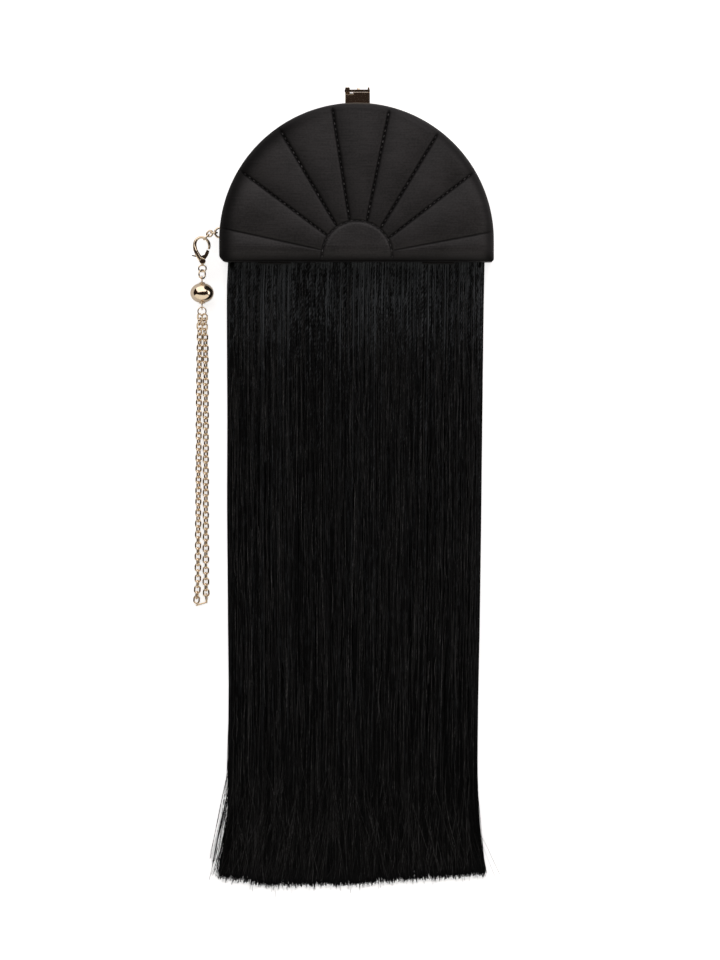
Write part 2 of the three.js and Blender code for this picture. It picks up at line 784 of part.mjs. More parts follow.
// Side view of the hook: thick at its lower end and thinner round its top
function hookSide() {
  const low = HOOK_THICK / 2;
  const high = HOOK_TIP_THICK / 2;
  const outline = [
    new THREE.Vector2(-6, -low),
    new THREE.Vector2(HOOK_TAPER_FROM, -low),
    new THREE.Vector2(HOOK_TAPER_TO, -high),
    new THREE.Vector2(24, -high),
    new THREE.Vector2(24, high),
    new THREE.Vector2(HOOK_TAPER_TO, high),
    new THREE.Vector2(HOOK_TAPER_FROM, low),
    new THREE.Vector2(-6, low),
  ];
  // The plate's X becomes Y, its Y becomes Z and its thickness runs along X
  return plate(outline, 40).rotate([90, 0, 90]);
}

function hookBody() {
  const boss = bar(
    new THREE.Vector3(HOOK_BOSS.x, HOOK_BOSS.y, -HOOK_THICK),
    new THREE.Vector3(HOOK_BOSS.x, HOOK_BOSS.y, HOOK_THICK),
    HOOK_BOSS.radius,
    20,
  );
  const whole = joined([plate(armOutline(), HOOK_THICK), boss]).intersect(hookSide());
  const slot = bar(
    new THREE.Vector3(PIVOT.x, PIVOT.y, -HOOK_SLOT / 2),
    new THREE.Vector3(PIVOT.x, PIVOT.y, HOOK_SLOT / 2),
    HOOK_SLOT_RADIUS,
    32,
  ).trimByPlane([0, 1, 0], HOOK_SLOT_FLOOR);
  const rivetHole = bar(
    new THREE.Vector3(PIVOT.x, PIVOT.y, -3),
    new THREE.Vector3(PIVOT.x, PIVOT.y, 3),
    RIVET_RADIUS + GAP,
  );
  const stemHole = bar(
    new THREE.Vector3(SWIVEL_X, -4, 0),
    new THREE.Vector3(SWIVEL_X, 0.25, 0),
    SWIVEL_STEM_RADIUS + GAP,
  );
  // The tip is cut on a slant, so that the gate's end swings in past it
  const tip = plate([
    new THREE.Vector2(2.2, 9.9),
    new THREE.Vector2(6, 7.6),
    new THREE.Vector2(6, 5),
    new THREE.Vector2(2.2, 5),
  ], 6);
  return whole.subtract(slot).subtract(rivetHole).subtract(stemHole).subtract(tip);
}

function hookGate() {
  const lever = plate([
    new THREE.Vector2(-8.3, 4.2),
    new THREE.Vector2(-8.3, 5),
    new THREE.Vector2(-4.6, 4.5),
    new THREE.Vector2(-1.2, 4.4),
    new THREE.Vector2(1, 5.2),
    new THREE.Vector2(2.7, 8.9),
    new THREE.Vector2(4.5, 7.9),
    new THREE.Vector2(3.4, 4.2),
    new THREE.Vector2(1.7, 1.9),
    new THREE.Vector2(-0.6, 1.2),
    new THREE.Vector2(-2.4, 1.9),
    new THREE.Vector2(-5, 3.4),
  ], GATE_THICK);
  const arm = plate([
    new THREE.Vector2(2.4, 7),
    new THREE.Vector2(2.8, 8.9),
    new THREE.Vector2(4.6, 7.8),
    new THREE.Vector2(3.9, 5.2),
  ], GATE_ARM_THICK);
  const rivetHole = bar(
    new THREE.Vector3(PIVOT.x, PIVOT.y, -3),
    new THREE.Vector3(PIVOT.x, PIVOT.y, 3),
    RIVET_RADIUS + GAP,
  );
  return joined([lever, arm]).subtract(rivetHole);
}

function hookSwivel() {
  const ring = ovalRing(SWIVEL_WIDTH, SWIVEL_HEIGHT, SMALL_WIRE);
  const stem = bar(
    new THREE.Vector3(SWIVEL_X, SWIVEL_Y + SWIVEL_HEIGHT / 2 - SMALL_WIRE / 2, 0),
    new THREE.Vector3(SWIVEL_X, -0.1, 0),
    SWIVEL_STEM_RADIUS,
    12,
  );
  return joined([ring.translate([SWIVEL_X, SWIVEL_Y, 0]), stem]);
}

function hookParts() {
  const rivet = bar(
    new THREE.Vector3(PIVOT.x, PIVOT.y, -HOOK_THICK / 2 - 0.2),
    new THREE.Vector3(PIVOT.x, PIVOT.y, HOOK_THICK / 2 + 0.2),
    RIVET_RADIUS,
    12,
  );
  const hook = new THREE.Group();
  hook.add(
    piece('hook_body', hookBody(), GOLD),
    piece('hook_gate', hookGate(), GOLD),
    piece('hook_rivet', rivet, GOLD),
    piece('hook_swivel', hookSwivel(), GOLD),
  );
  hook.position.set(HOOK_X, HOOK_Y, CHAIN_Z);
  return hook;
}

// Bead

// Turned body about Y through profile points that start and end on the axis
function turned(profile, segments) {
  const points = profile.map((row) => new THREE.Vector2(row.r, row.y));
  return solidOf(new THREE.LatheGeometry(points, segments));
}

function beadHole(radius) {
  return bar(new THREE.Vector3(0, -20, 0), new THREE.Vector3(0, 20, 0), radius, 12);
}

function bead() {
  const steps = 12;
  const profile = [];
  for (let step = 0; step <= steps; step += 1) {
    const angle = Math.PI * (step / steps - 0.5);
    const r = step === 0 || step === steps ? 0 : BEAD_RADIUS * Math.cos(angle);
    profile.push({ r, y: BEAD_HALF_HEIGHT * Math.sin(angle) });
  }
  return turned(profile, 24).subtract(beadHole(BEAD_HOLE_RADIUS));
}

// Shallow cap that sits on one end of the bead
function beadCap(side) {
  const sink = BEAD_HALF_HEIGHT * (1 - Math.sqrt(1 - (CAP_RADIUS / BEAD_RADIUS) ** 2));
  const foot = BEAD_HALF_HEIGHT - sink + GAP;
  const cap = turned([
    { r: 0, y: foot },
    { r: CAP_RADIUS, y: foot },
    { r: CAP_RADIUS * 0.9, y: foot + CAP_HEIGHT * 0.6 },
    { r: CAP_RADIUS * 0.5, y: foot + sink + CAP_HEIGHT },
    { r: 0, y: foot + sink + CAP_HEIGHT },
  ], 20);
  const seat = turned([
    { r: 0, y: -BEAD_HALF_HEIGHT - GAP },
    { r: BEAD_RADIUS, y: 0 },
    { r: CAP_RADIUS * 1.4, y: BEAD_HALF_HEIGHT - sink * 2 + GAP },
    { r: CAP_RADIUS, y: foot },
    { r: CAP_RADIUS * 0.5, y: foot + sink * 0.75 },
    { r: 0, y: BEAD_HALF_HEIGHT + GAP },
  ], 20);
  const whole = cap.subtract(seat).subtract(beadHole(BEAD_HOLE_RADIUS));
  return side > 0 ? whole : whole.rotate([180, 0, 0]);
}

// Pin through the bead with a loop on edge at each end
function beadPin() {
  const loops = [-1, 1].map((side) => ovalRing(
    2 * BEAD_LOOP_RADIUS + SMALL_WIRE,
    2 * BEAD_LOOP_RADIUS + SMALL_WIRE,
    SMALL_WIRE,
    8,
    14,
  ).rotate([0, 90, 0]).translate([0, side * BEAD_LOOP_REACH, 0]));
  const reach = BEAD_LOOP_REACH - BEAD_LOOP_RADIUS;
  const shaft = bar(new THREE.Vector3(0, -reach, 0), new THREE.Vector3(0, reach, 0), BEAD_PIN_RADIUS, 12);
  return joined([shaft, ...loops]);
}

function beadParts() {
  const group = new THREE.Group();
  group.add(
    piece('bead', bead(), GOLD),
    piece('bead_pin', beadPin(), GOLD),
    piece('bead_cap_top', beadCap(1), GOLD),
    piece('bead_cap_bottom', beadCap(-1), GOLD),
  );
  group.position.set(BEAD_X, BEAD_Y, CHAIN_Z);
  return group;
}

function ringMesh(name, radius, place, turn) {
  const outer = 2 * radius + SMALL_WIRE;
  const mesh = piece(name, ovalRing(outer, outer, SMALL_WIRE), GOLD);
  mesh.position.copy(place);
  mesh.rotation.y = turn;
  return mesh;
}

// Chain strands

// Plain bar along one strand's route, the outer shape of its links
function strand(name, route) {
  const path = new THREE.CatmullRomCurve3(route.map((row) => new THREE.Vector3(row.x, row.y, row.z)));
  const rings = [];
  for (let step = 0; step <= STRAND_STEPS; step += 1) {
    const share = (step / STRAND_STEPS) ** 2;
    const place = path.getPointAt(share);
    const along = path.getTangentAt(share);
    const side = new THREE.Vector3(1, 0, 0).addScaledVector(along, -along.x).normalize();
    const up = new THREE.Vector3().crossVectors(side, along);
    const ring = [];
    for (let corner = 0; corner < STRAND_SIDES; corner += 1) {
      const angle = (2 * Math.PI * (corner + 0.5)) / STRAND_SIDES;
      const stretch = 1 / Math.cos(Math.PI / STRAND_SIDES);
      ring.push(place.clone()
        .addScaledVector(side, (STRAND_WIDTH / 2) * stretch * Math.cos(angle))
        .addScaledVector(up, (STRAND_HEIGHT / 2) * stretch * Math.sin(angle)));
    }
    rings.push(ring.reverse());
  }
  return piece(name, loft(rings), GOLD);
}

function endLink() {
  const mesh = piece('end_link', ovalRing(END_LINK.length, LINK_WIDTH, LINK_WIRE), GOLD);
  mesh.position.set(END_LINK.x, END_LINK.y, END_LINK.z);
  mesh.rotation.z = END_LINK.turn;
  return mesh;
}

// Whole clutch

const clutch = new THREE.Group();

clutch.add(
  piece('back_shell', backShell(), SATIN),
  piece('front_shell', frontShell(), SATIN),
  piece('quilted_panel', quiltedPanel(), SATIN),
  piece('fringe', fringeComb(), FRINGE_YARN),
);

clutch.add(...hingeParts('left', -HINGE_X), ...hingeParts('right', HINGE_X));

clutch.add(
  piece('catch_base', catchBase(), GOLD),
  piece('catch_block', catchBlock(), GOLD),
  piece('catch_bar', catchBar(), GOLD),
  piece('catch_pin', catchPin(), GOLD),
);

clutch.add(
  piece('chain_eye', chainEye(), GOLD),
  ...linkMeshes(),
  hookParts(),
  ringMesh(
    'jump_ring',
    JUMP_RING_RADIUS,
    new THREE.Vector3(JUMP_RING_X, JUMP_RING_Y, CHAIN_Z),
    JUMP_RING_TURN,
  ),
  beadParts(),
  ringMesh('chain_ring', CHAIN_RING_RADIUS, new THREE.Vector3(BEAD_X, CHAIN_RING_Y, CHAIN_Z), 0),
  strand('strand_left', LEFT_STRAND),
  strand('strand_right', RIGHT_STRAND),
  endLink(),
);

export default clutch;
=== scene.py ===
"""Black satin half-moon clutch with a long hanging fringe and a gold wrist chain.

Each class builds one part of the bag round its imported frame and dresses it. Lengths are in metres:
a size is written in millimetres times MM.
"""

import logging
import math
from collections.abc import Callable, Sequence
from dataclasses import dataclass, field
from enum import Enum

import bmesh
import bpy
import numpy as np
from mathutils import Matrix, Vector


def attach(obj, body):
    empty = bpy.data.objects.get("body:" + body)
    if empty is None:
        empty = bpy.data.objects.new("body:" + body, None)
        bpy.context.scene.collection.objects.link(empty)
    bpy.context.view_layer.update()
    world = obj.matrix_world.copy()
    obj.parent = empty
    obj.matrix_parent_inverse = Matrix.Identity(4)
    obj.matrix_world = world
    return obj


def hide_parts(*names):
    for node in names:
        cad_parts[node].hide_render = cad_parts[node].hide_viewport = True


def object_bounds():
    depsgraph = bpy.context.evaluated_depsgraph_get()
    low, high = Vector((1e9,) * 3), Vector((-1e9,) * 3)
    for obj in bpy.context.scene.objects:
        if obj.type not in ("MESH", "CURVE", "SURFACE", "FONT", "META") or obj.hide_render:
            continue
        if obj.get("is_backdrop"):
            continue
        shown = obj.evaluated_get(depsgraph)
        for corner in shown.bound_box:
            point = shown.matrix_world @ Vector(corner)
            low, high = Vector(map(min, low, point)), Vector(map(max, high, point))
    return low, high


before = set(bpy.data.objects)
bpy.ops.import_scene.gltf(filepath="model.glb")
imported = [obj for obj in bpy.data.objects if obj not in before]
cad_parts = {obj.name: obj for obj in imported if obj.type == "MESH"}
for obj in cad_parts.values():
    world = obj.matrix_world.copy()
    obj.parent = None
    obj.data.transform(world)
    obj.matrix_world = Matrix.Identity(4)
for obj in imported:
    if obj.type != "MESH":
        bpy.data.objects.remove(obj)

MM = 0.001
CAD_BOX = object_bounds()

log = logging.getLogger("clutch")

Object = bpy.types.Object
Material = bpy.types.Material
Pair = tuple[float, float]
Pairs = tuple[Pair, ...]
Triple = tuple[float, float, float]
Triples = tuple[Triple, ...]


class Body(Enum):
    """Bodies of the frame that pieces ride on."""

    BACK = "back_half"
    FRONT = "front_half"
    BAR = "catch_bar"
    GATE = "hook_gate"


class Slot(Enum):
    """Material slots of the record, named alongside the pieces made here."""

    SATIN = "satin"
    QUILTED = "quilted_satin"
    YARN = "fringe_yarn"
    GOLD = "gold"


class Element(Enum):
    """What edit mode picks."""

    POINT = "VERT"
    EDGE = "EDGE"
    FACE = "FACE"


# Shader maths


class Value:
    """Number output of a node, on which arithmetic adds Math nodes."""

    def __init__(self, paint: "Paint", socket: bpy.types.NodeSocket) -> None:
        """Wraps one socket of a paint's tree."""
        self.paint = paint
        self.socket = socket

    def maths(self, operation: str, *terms: "Value | float") -> "Value":
        """Adds a Math node.

        Args:
            operation: The Math node's operation.
            terms: Its values or links, in order.

        Returns:
            The node's output.
        """
        node = self.paint.node("ShaderNodeMath", {"operation": operation}, dict(enumerate(terms)))
        return Value(self.paint, node.outputs[0])

    def __add__(self, other: "Value | float") -> "Value":
        """Sum."""
        return self.maths("ADD", self, other)

    __radd__ = __add__

    def __sub__(self, other: "Value | float") -> "Value":
        """Difference."""
        return self.maths("SUBTRACT", self, other)

    def __rsub__(self, other: "Value | float") -> "Value":
        """Difference from a number."""
        return self.maths("SUBTRACT", other, self)

    def __mul__(self, other: "Value | float") -> "Value":
        """Product."""
        return self.maths("MULTIPLY", self, other)

    __rmul__ = __mul__

    def __pow__(self, other: "Value | float") -> "Value":
        """Power."""
        return self.maths("POWER", self, other)

    def wave(self, pitch: float) -> "Value":
        """Sine from 0 to 1 that repeats over a pitch."""
        return self.maths("SINE", self * (2 * math.pi / pitch)) * 0.5 + 0.5

    def over(self, low: float, high: float) -> "Value":
        """Smooth step from 0 at low to 1 at high."""
        settings = {"interpolation_type": "SMOOTHSTEP"}
        inputs = {"Value": self, "From Min": low, "From Max": high}
        node = self.paint.node("ShaderNodeMapRange", settings, inputs)
        return Value(self.paint, node.outputs["Result"])


class Paint:
    """Node tree of one finish, round its Principled shader."""

    def __init__(self, name: str) -> None:
        """Starts a material with that name."""
        self.material = bpy.data.materials.new(name)
        self.material.use_nodes = True
        self.tree = self.material.node_tree
        self.shader = self.tree.nodes["Principled BSDF"]

    def node(self, kind: str, settings: dict | None = None, inputs: dict | None = None) -> bpy.types.Node:
        """Adds one node.

        Args:
            kind: The node's type.
            settings: Its properties, set first.
            inputs: Values or links of its sockets, by name or number.

        Returns:
            The new node.
        """
        node = self.tree.nodes.new(kind)
        for name, value in (settings or {}).items():
            setattr(node, name, value)
        for name, value in (inputs or {}).items():
            self.feed(node.inputs[name], value)
        return node

    def feed(self, socket: bpy.types.NodeSocket, value: object) -> None:
        """Links a value to a socket, or sets the socket to it."""
        if isinstance(value, Value):
            self.tree.links.new(value.socket, socket)
        elif isinstance(value, bpy.types.NodeSocket):
            self.tree.links.new(value, socket)
        else:
            socket.default_value = value

    def set(self, **sockets: object) -> None:
        """Feeds the shader's own sockets, named with _ for a space."""
        for name, value in sockets.items():
            self.feed(self.shader.inputs[name.replace("_", " ")], value)

    def noise(self, vector: object, scale: float, detail: float = 2.0) -> Value:
        """Soft noise from 0 to 1 at a scale per metre."""
        node = self.node("ShaderNodeTexNoise", None, {"Vector": vector, "Scale": scale, "Detail": detail})
        return Value(self, node.outputs["Fac"])

    def stretched(self, vector: object, scale: Triple) -> bpy.types.NodeSocket:
        """Coordinates scaled by a different amount along each axis."""
        return self.node("ShaderNodeMapping", None, {"Vector": vector, "Scale": scale}).outputs["Vector"]

    def place(self, output: str = "Object") -> bpy.types.NodeSocket:
        """Coordinates of the surface: Object, or UV."""
        return self.node("ShaderNodeTexCoord").outputs[output]

    def axes(self, vector: object) -> tuple[Value, Value, Value]:
        """The three numbers of a vector."""
        node = self.node("ShaderNodeSeparateXYZ", None, {"Vector": vector})
        return tuple(Value(self, node.outputs[axis]) for axis in "XYZ")

    def vector(self, x: object, y: object, z: object) -> bpy.types.NodeSocket:
        """Vector of three numbers."""
        return self.node("ShaderNodeCombineXYZ", None, {"X": x, "Y": y, "Z": z}).outputs["Vector"]

    def own(self, attribute: str) -> Value:
        """A number that the mesh holds at each point."""
        return Value(self, self.node("ShaderNodeAttribute", {"attribute_name": attribute}).outputs["Fac"])

    def between(self, share: Value, low: tuple, high: tuple) -> bpy.types.NodeSocket:
        """Colour between two others.

        Args:
            share: 0 for the low colour and 1 for the high one.
            low: First colour, linear red, green and blue.
            high: Second colour.

        Returns:
            The mixed colour's output.
        """
        inputs = {0: share, 6: (*low, 1), 7: (*high, 1)}
        return self.node("ShaderNodeMix", {"data_type": "RGBA"}, inputs).outputs[2]

    def relief(self, height: Value, depth: float, strength: float = 1.0) -> None:
        """Raises a height pattern of that depth in metres on the surface."""
        inputs = {"Height": height, "Distance": depth, "Strength": strength}
        self.set(Normal=self.node("ShaderNodeBump", None, inputs).outputs["Normal"])


# Finishes


@dataclass(frozen=True)
class Satin:
    """Woven satin: long warp floats with a soft gloss, crossed by faint weft lines."""

    name: str
    dark: Triple
    light: Triple
    roughness: float = 0.52
    gloss: float = 0.4
    # Near-black colour that the painted shade mixes the cloth towards
    deep: tuple[float, float, float, float] = (0.001, 0.001, 0.001, 1)
    warp: float = 0.36 * MM
    weft: float = 0.62 * MM
    # Share of its light that the painted shade takes at its darkest, and that the dark threads lose
    sink: float = 0.85
    uneven: float = 0.2

    def material(self) -> Material:
        """Makes the material, with its weave in the cloth's own UV map, and with the painted shade that the mesh
        holds at its points darkening its colour and dulling its gloss.
        """
        paint = Paint(self.name)
        cloth = paint.place("UV")
        across, along, _ = paint.axes(cloth)
        floats = (across + along * 0.18).wave(self.warp)
        picks = (along - across * 0.3).wave(self.weft)
        slubs = paint.noise(paint.stretched(cloth, (900.0, 90.0, 1.0)), 1.0, 3.0)
        ribs = paint.noise(paint.stretched(cloth, (60.0, 1500.0, 1.0)), 1.0, 2.0)
        worn = paint.noise(cloth, 38.0, 4.0)
        weave = floats * 0.45 + picks * 0.35 + slubs * 0.6 + ribs * 0.7
        grain = paint.noise(cloth, 700.0, 2.0)
        tone = (worn * 0.3 + ribs * 0.3 + grain * 0.4).over(0.36, 0.64)
        # Painted shade: where the mesh holds it, the colour goes to near black and Metallic and Roughness rise,
        # so colour and gloss both fade in place of shade
        painted_shade = paint.own("painted_shade")
        cloth_colour = paint.between(tone, self.dark, self.light)
        inputs = {0: painted_shade * self.sink, 6: cloth_colour, 7: self.deep}
        shade = paint.node("ShaderNodeMix", {"data_type": "RGBA"}, inputs)
        paint.set(Base_Color=shade.outputs[2])
        paint.set(Metallic=painted_shade * self.sink + (1 - tone) * (1 - painted_shade) * self.uneven)
        paint.set(Roughness=self.roughness - 0.22 + worn * 0.08 + slubs * 0.06 + grain * 0.3 + painted_shade * 0.35)
        paint.set(Specular_IOR_Level=self.gloss)
        paint.relief(weave, 0.035 * MM, 0.55)
        return paint.material


@dataclass(frozen=True)
class Yarn:
    """Twisted yarn: two plies wound round each other, looser towards the cut end."""

    name: str
    dark: Triple
    light: Triple
    roughness: float = 0.42
    gloss: float = 0.22
    ply: float = 7.4 * MM
    relief: float = 0.22 * MM
    patch: float = 10 * MM
    # Painted light near the heading: how far down the top part is lighter, how far down the extra light just
    # under the head reaches, and how strong both are
    near: float = 84 * MM
    under: float = 9 * MM
    lift: float = 0.0

    def material(self) -> Material:
        """Makes the material, on UVs round and along each cord, with painted highlight dots on the plies' crests
        and painted light near the heading.
        """
        paint = Paint(self.name)
        around, along, _ = paint.axes(paint.place("UV"))
        tint = paint.own("tint")
        held = paint.own("twist")
        turns = along * (1 / self.ply) + around + tint * 3.0
        crest = (turns * 2.0).wave(1.0) ** 1.6
        spot = paint.vector(around * 0.4, along * (1 / self.patch) + tint * 37.0, tint * 91.0)
        patchy = paint.noise(spot, 1.0, 3.0).over(0.44, 0.66)
        fibres = paint.noise(paint.vector(around * 7.0 + turns * 5.0, along * 420.0, tint * 50.0), 1.0, 2.0)
        # Painted highlight: the plies' crests are lighter in colour as well as raised, so dots of light run
        # along the twist
        lay = crest * held + (1 - held) * 0.5
        # Painted light: lighter over the top part of each strand and lighter still just under the head's edge,
        # where the head shades it; tightly twisted yarn is lighter too, partly painted light that the twist
        # catches
        upper = 1 - along.over(0.0, self.near)
        broken = fibres.over(0.42, 0.66)
        shown = (patchy ** 1.5) * (lay * 0.8 + 0.2) * 0.7 + broken * lay * 0.3 + (tint ** 4.0) * 0.4
        first = 1 - along.over(0.0, self.under)
        tone = shown * (held * 0.35 + 0.65) * (1 + (upper + first * 0.8) * self.lift)
        paint.set(Base_Color=paint.between(tone.over(0.0, 1.2), self.dark, self.light))
        paint.set(Roughness=self.roughness + 0.2 - patchy * 0.25 + fibres * 0.1)
        paint.set(Specular_IOR_Level=self.gloss)
        paint.relief(lay + fibres * 0.22, self.relief, 0.7)
        return paint.material


@dataclass(frozen=True)
class Plating:
    """Polished plating over metal, with fine rubbing marks."""

    name: str
    colour: Triple
    worn: Triple
    roughness: float = 0.07
    rubbing: float = 0.05

    def material(self) -> Material:
        """Makes the material, on object coordinates."""
        paint = Paint(self.name)
        spot = paint.place()
        cloudy = paint.noise(spot, 260.0, 3.0)
        marks = paint.noise(paint.stretched(spot, (900.0, 5200.0, 900.0)), 1.0, 2.0)
        paint.set(Base_Color=paint.between(cloudy.over(0.35, 0.75), self.colour, self.worn))
        paint.set(Metallic=1.0, Roughness=self.roughness + self.rubbing * (cloudy + marks * 0.5))
        paint.relief(marks + cloudy * 0.5, 0.004 * MM, 0.4)
        return paint.material


@dataclass(frozen=True)
class Lacquer:
    """Thin black lacquer over hinge metal, rubbed in small spots."""

    name: str
    colour: Triple
    rubbed: Triple

    def material(self) -> Material:
        """Makes the material, on object coordinates."""
        paint = Paint(self.name)
        spot = paint.place()
        wear = paint.noise(spot, 700.0, 4.0).over(0.55, 0.75)
        paint.set(Base_Color=paint.between(wear, self.colour, self.rubbed))
        paint.set(Metallic=0.25, Roughness=0.5 + wear * 0.2, Specular_IOR_Level=0.2)
        paint.relief(wear, 0.02 * MM, 0.3)
        return paint.material


@dataclass(frozen=True)
class Finishes:
    """Every finish of the bag, made once."""

    satin: Material
    quilted: Material
    thread: Material
    cord: Material
    fray: Material
    stray: Material
    tape: Material
    gold: Material
    lacquer: Material

    @classmethod
    def mixed(cls) -> "Finishes":
        """Makes all the materials."""
        black = (0.0068, 0.006, 0.006)
        return cls(
            satin=Satin("satin", black, (0.0165, 0.0145, 0.0148)).material(),
            quilted=Satin("quilted_satin", black, (0.0205, 0.018, 0.0184)).material(),
            thread=Yarn(
                "thread", (0.01, 0.0095, 0.0095), (0.17, 0.163, 0.163), 0.4, 0.4, 1.2 * MM, 0.1 * MM
            ).material(),
            # Cords: painted light on their top part near the heading
            cord=Yarn(
                "fringe_cord", (0.0008, 0.0008, 0.0009), (0.045, 0.0495, 0.053), gloss=0.12, lift=4.3
            ).material(),
            fray=Yarn(
                "fringe_fray", (0.0012, 0.0013, 0.0015), (0.0145, 0.0155, 0.0168), 0.4, 0.15
            ).material(),
            # Loose hairs: lighter than the cords, painted sheen of black hairs that catch the light
            stray=Yarn("fringe_stray", (0.01, 0.01, 0.01), (0.17, 0.17, 0.17), 0.4, 0.25).material(),
            tape=Satin("fringe_tape", (0.0015, 0.0015, 0.0015), (0.003, 0.003, 0.003), 0.75, 0.05).material(),
            gold=Plating("gold", (0.9, 0.755, 0.57), (0.82, 0.66, 0.47)).material(),
            lacquer=Lacquer("hinge_lacquer", (0.003, 0.0027, 0.0027), (0.012, 0.01, 0.009)).material(),
        )


# Modelling tools


def deselect() -> None:
    """Clears the selection, so that an operator acts only on what comes next."""
    bpy.ops.object.select_all(action="DESELECT")


def only(piece: Object) -> None:
    """Selects one piece and makes it active."""
    deselect()
    piece.select_set(True)
    bpy.context.view_layer.objects.active = piece


def named(name: str) -> Object:
    """Names the piece that was just added, and applies its place to its mesh."""
    piece = bpy.context.active_object
    piece.name = name
    piece.data.name = name
    bpy.ops.object.transform_apply(location=True, rotation=True, scale=True)
    return piece


def unit(values: np.ndarray) -> np.ndarray:
    """Limits numbers to the range from 0 to 1."""
    return np.clip(values, 0, 1)


def ease(share: float | np.ndarray) -> float | np.ndarray:
    """Smooth step of a share that lies from 0 to 1."""
    return share**2 * (3 - 2 * share)


class Shaping:
    """Edit mode on one piece, with parts of it picked by a test on their middle."""

    def __init__(self, piece: Object) -> None:
        """Holds the piece."""
        self.piece = piece

    def __enter__(self) -> "Shaping":
        """Enters edit mode with nothing picked."""
        only(self.piece)
        bpy.ops.object.mode_set(mode="EDIT")
        bpy.ops.mesh.select_all(action="DESELECT")
        return self

    def __exit__(self, *_: object) -> None:
        """Leaves edit mode."""
        bpy.ops.object.mode_set(mode="OBJECT")

    def pick(self, element: Element, test: Callable[[Vector], bool]) -> None:
        """Picks the points, edges or faces whose middle passes a test, and nothing else."""
        bpy.ops.mesh.select_mode(type=element.value)
        bpy.ops.mesh.select_all(action="DESELECT")
        mesh = bmesh.from_edit_mesh(self.piece.data)
        for point in mesh.verts if element is Element.POINT else ():
            point.select_set(test(point.co))
        for edge in mesh.edges if element is Element.EDGE else ():
            edge.select_set(test((edge.verts[0].co + edge.verts[1].co) / 2))
        for face in mesh.faces if element is Element.FACE else ():
            face.select_set(test(face.calc_center_median()))
        mesh.select_flush_mode()
        bmesh.update_edit_mesh(self.piece.data)

    def carry(self, step: Matrix) -> None:
        """Moves what is picked by a matrix."""
        mesh = bmesh.from_edit_mesh(self.piece.data)
        for point in mesh.verts:
            if point.select:
                point.co = step @ point.co
        bmesh.update_edit_mesh(self.piece.data)

    def extrude(self, move: Triple) -> None:
        """Extrudes what is picked by a move."""
        bpy.ops.mesh.extrude_region_move(TRANSFORM_OT_translate={"value": move})

    def face_outwards(self) -> None:
        """Turns every face outwards."""
        bpy.ops.mesh.select_all(action="SELECT")
        bpy.ops.mesh.normals_make_consistent(inside=False)


def block(name: str, low: Sequence[float], high: Sequence[float]) -> Object:
    """Box between two corners, to be shaped further."""
    deselect()
    size = [b - a for a, b in zip(low, high)]
    middle = [(a + b) / 2 for a, b in zip(low, high)]
    bpy.ops.mesh.primitive_cube_add(size=1, location=middle, scale=size)
    return named(name)


def rod(name: str, start: Vector, end: Vector, radius: float, sides: int = 32) -> Object:
    """Round bar from one point to another."""
    deselect()
    along = end - start
    turn = along.to_track_quat("Z", "Y").to_euler()
    bpy.ops.mesh.primitive_cylinder_add(
        vertices=sides, radius=radius, depth=along.length, location=(start + end) / 2, rotation=turn
    )
    return named(name)


def ring(
    name: str, length: float, width: float, wire: float, place: Matrix, steps: int = 40, sides: int = 14
) -> Object:
    """Oval wire ring.

    Args:
        name: The piece's name.
        length: Outside length, along the ring's own X.
        width: Outside width, along its own Y.
        wire: Wire's diameter.
        place: Turn and place of the ring.
        steps: Steps round the ring.
        sides: Sides of the wire.

    Returns:
        The ring.
    """
    deselect()
    bpy.ops.mesh.primitive_torus_add(
        major_segments=steps,
        minor_segments=sides,
        major_radius=(width - wire) / 2,
        minor_radius=wire / 2,
        rotation=(0, 0, math.pi / steps),
    )
    piece = named(name)
    with Shaping(piece) as shaping:
        for side in (-1, 1):
            shaping.pick(Element.POINT, lambda point, side=side: point.x * side > 0)
            bpy.ops.transform.translate(value=(side * (length - width) / 2, 0, 0))
        shaping.pick(Element.POINT, lambda point: True)
        shaping.carry(place)
    smooth(piece)
    return piece


def plate(name: str, outline: Sequence[Pair], low: float, high: float) -> Object:
    """Flat plate with a given outline in X and Y, raised from low to high."""
    deselect()
    bpy.ops.mesh.primitive_circle_add(vertices=len(outline), radius=1, fill_type="NGON")
    piece = named(name)
    for point, (x, y) in zip(piece.data.vertices, outline):
        point.co = (x, y, low)
    with Shaping(piece) as shaping:
        bpy.ops.mesh.select_all(action="SELECT")
        shaping.extrude((0, 0, high - low))
        shaping.face_outwards()
    return piece


def pulled(name: str, sections: Sequence[Matrix], sides: int = 16) -> Object:
    """Bar pulled through a row of round sections, closed at both ends.

    Args:
        name: The piece's name.
        sections: Where a circle of radius 1 lies at each section, squeezed to its size.
        sides: Sides of the bar.

    Returns:
        The bar.
    """
    deselect()
    bpy.ops.mesh.primitive_circle_add(vertices=sides, radius=1, fill_type="NGON")
    piece = named(name)
    with Shaping(piece) as shaping:
        bpy.ops.mesh.select_all(action="SELECT")
        shaping.carry(sections[0])
        for before, after in zip(sections, sections[1:]):
            bpy.ops.mesh.extrude_region()
            shaping.carry(after @ before.inverted())
        shaping.face_outwards()
    smooth(piece)
    return piece


def section(place: Vector, along: Vector, half_width: float, half_height: float) -> Matrix:
    """Matrix of a round section across a direction, with its height towards +Z."""
    along = along.normalized()
    width = along.cross(Vector((0, 0, 1))).normalized()
    height = width.cross(along)
    matrix = Matrix((width * half_width, height * half_height, along * half_width)).transposed().to_4x4()
    matrix.translation = place
    return matrix


def combine(piece: Object, tool: Object, operation: str) -> Object:
    """Joins a tool to a piece, or cuts it out, and removes the tool."""
    change = piece.modifiers.new("combine", "BOOLEAN")
    change.operation = operation
    change.object = tool
    change.solver = "EXACT"
    only(piece)
    bpy.ops.object.modifier_apply(modifier=change.name)
    bpy.data.objects.remove(tool)
    return piece


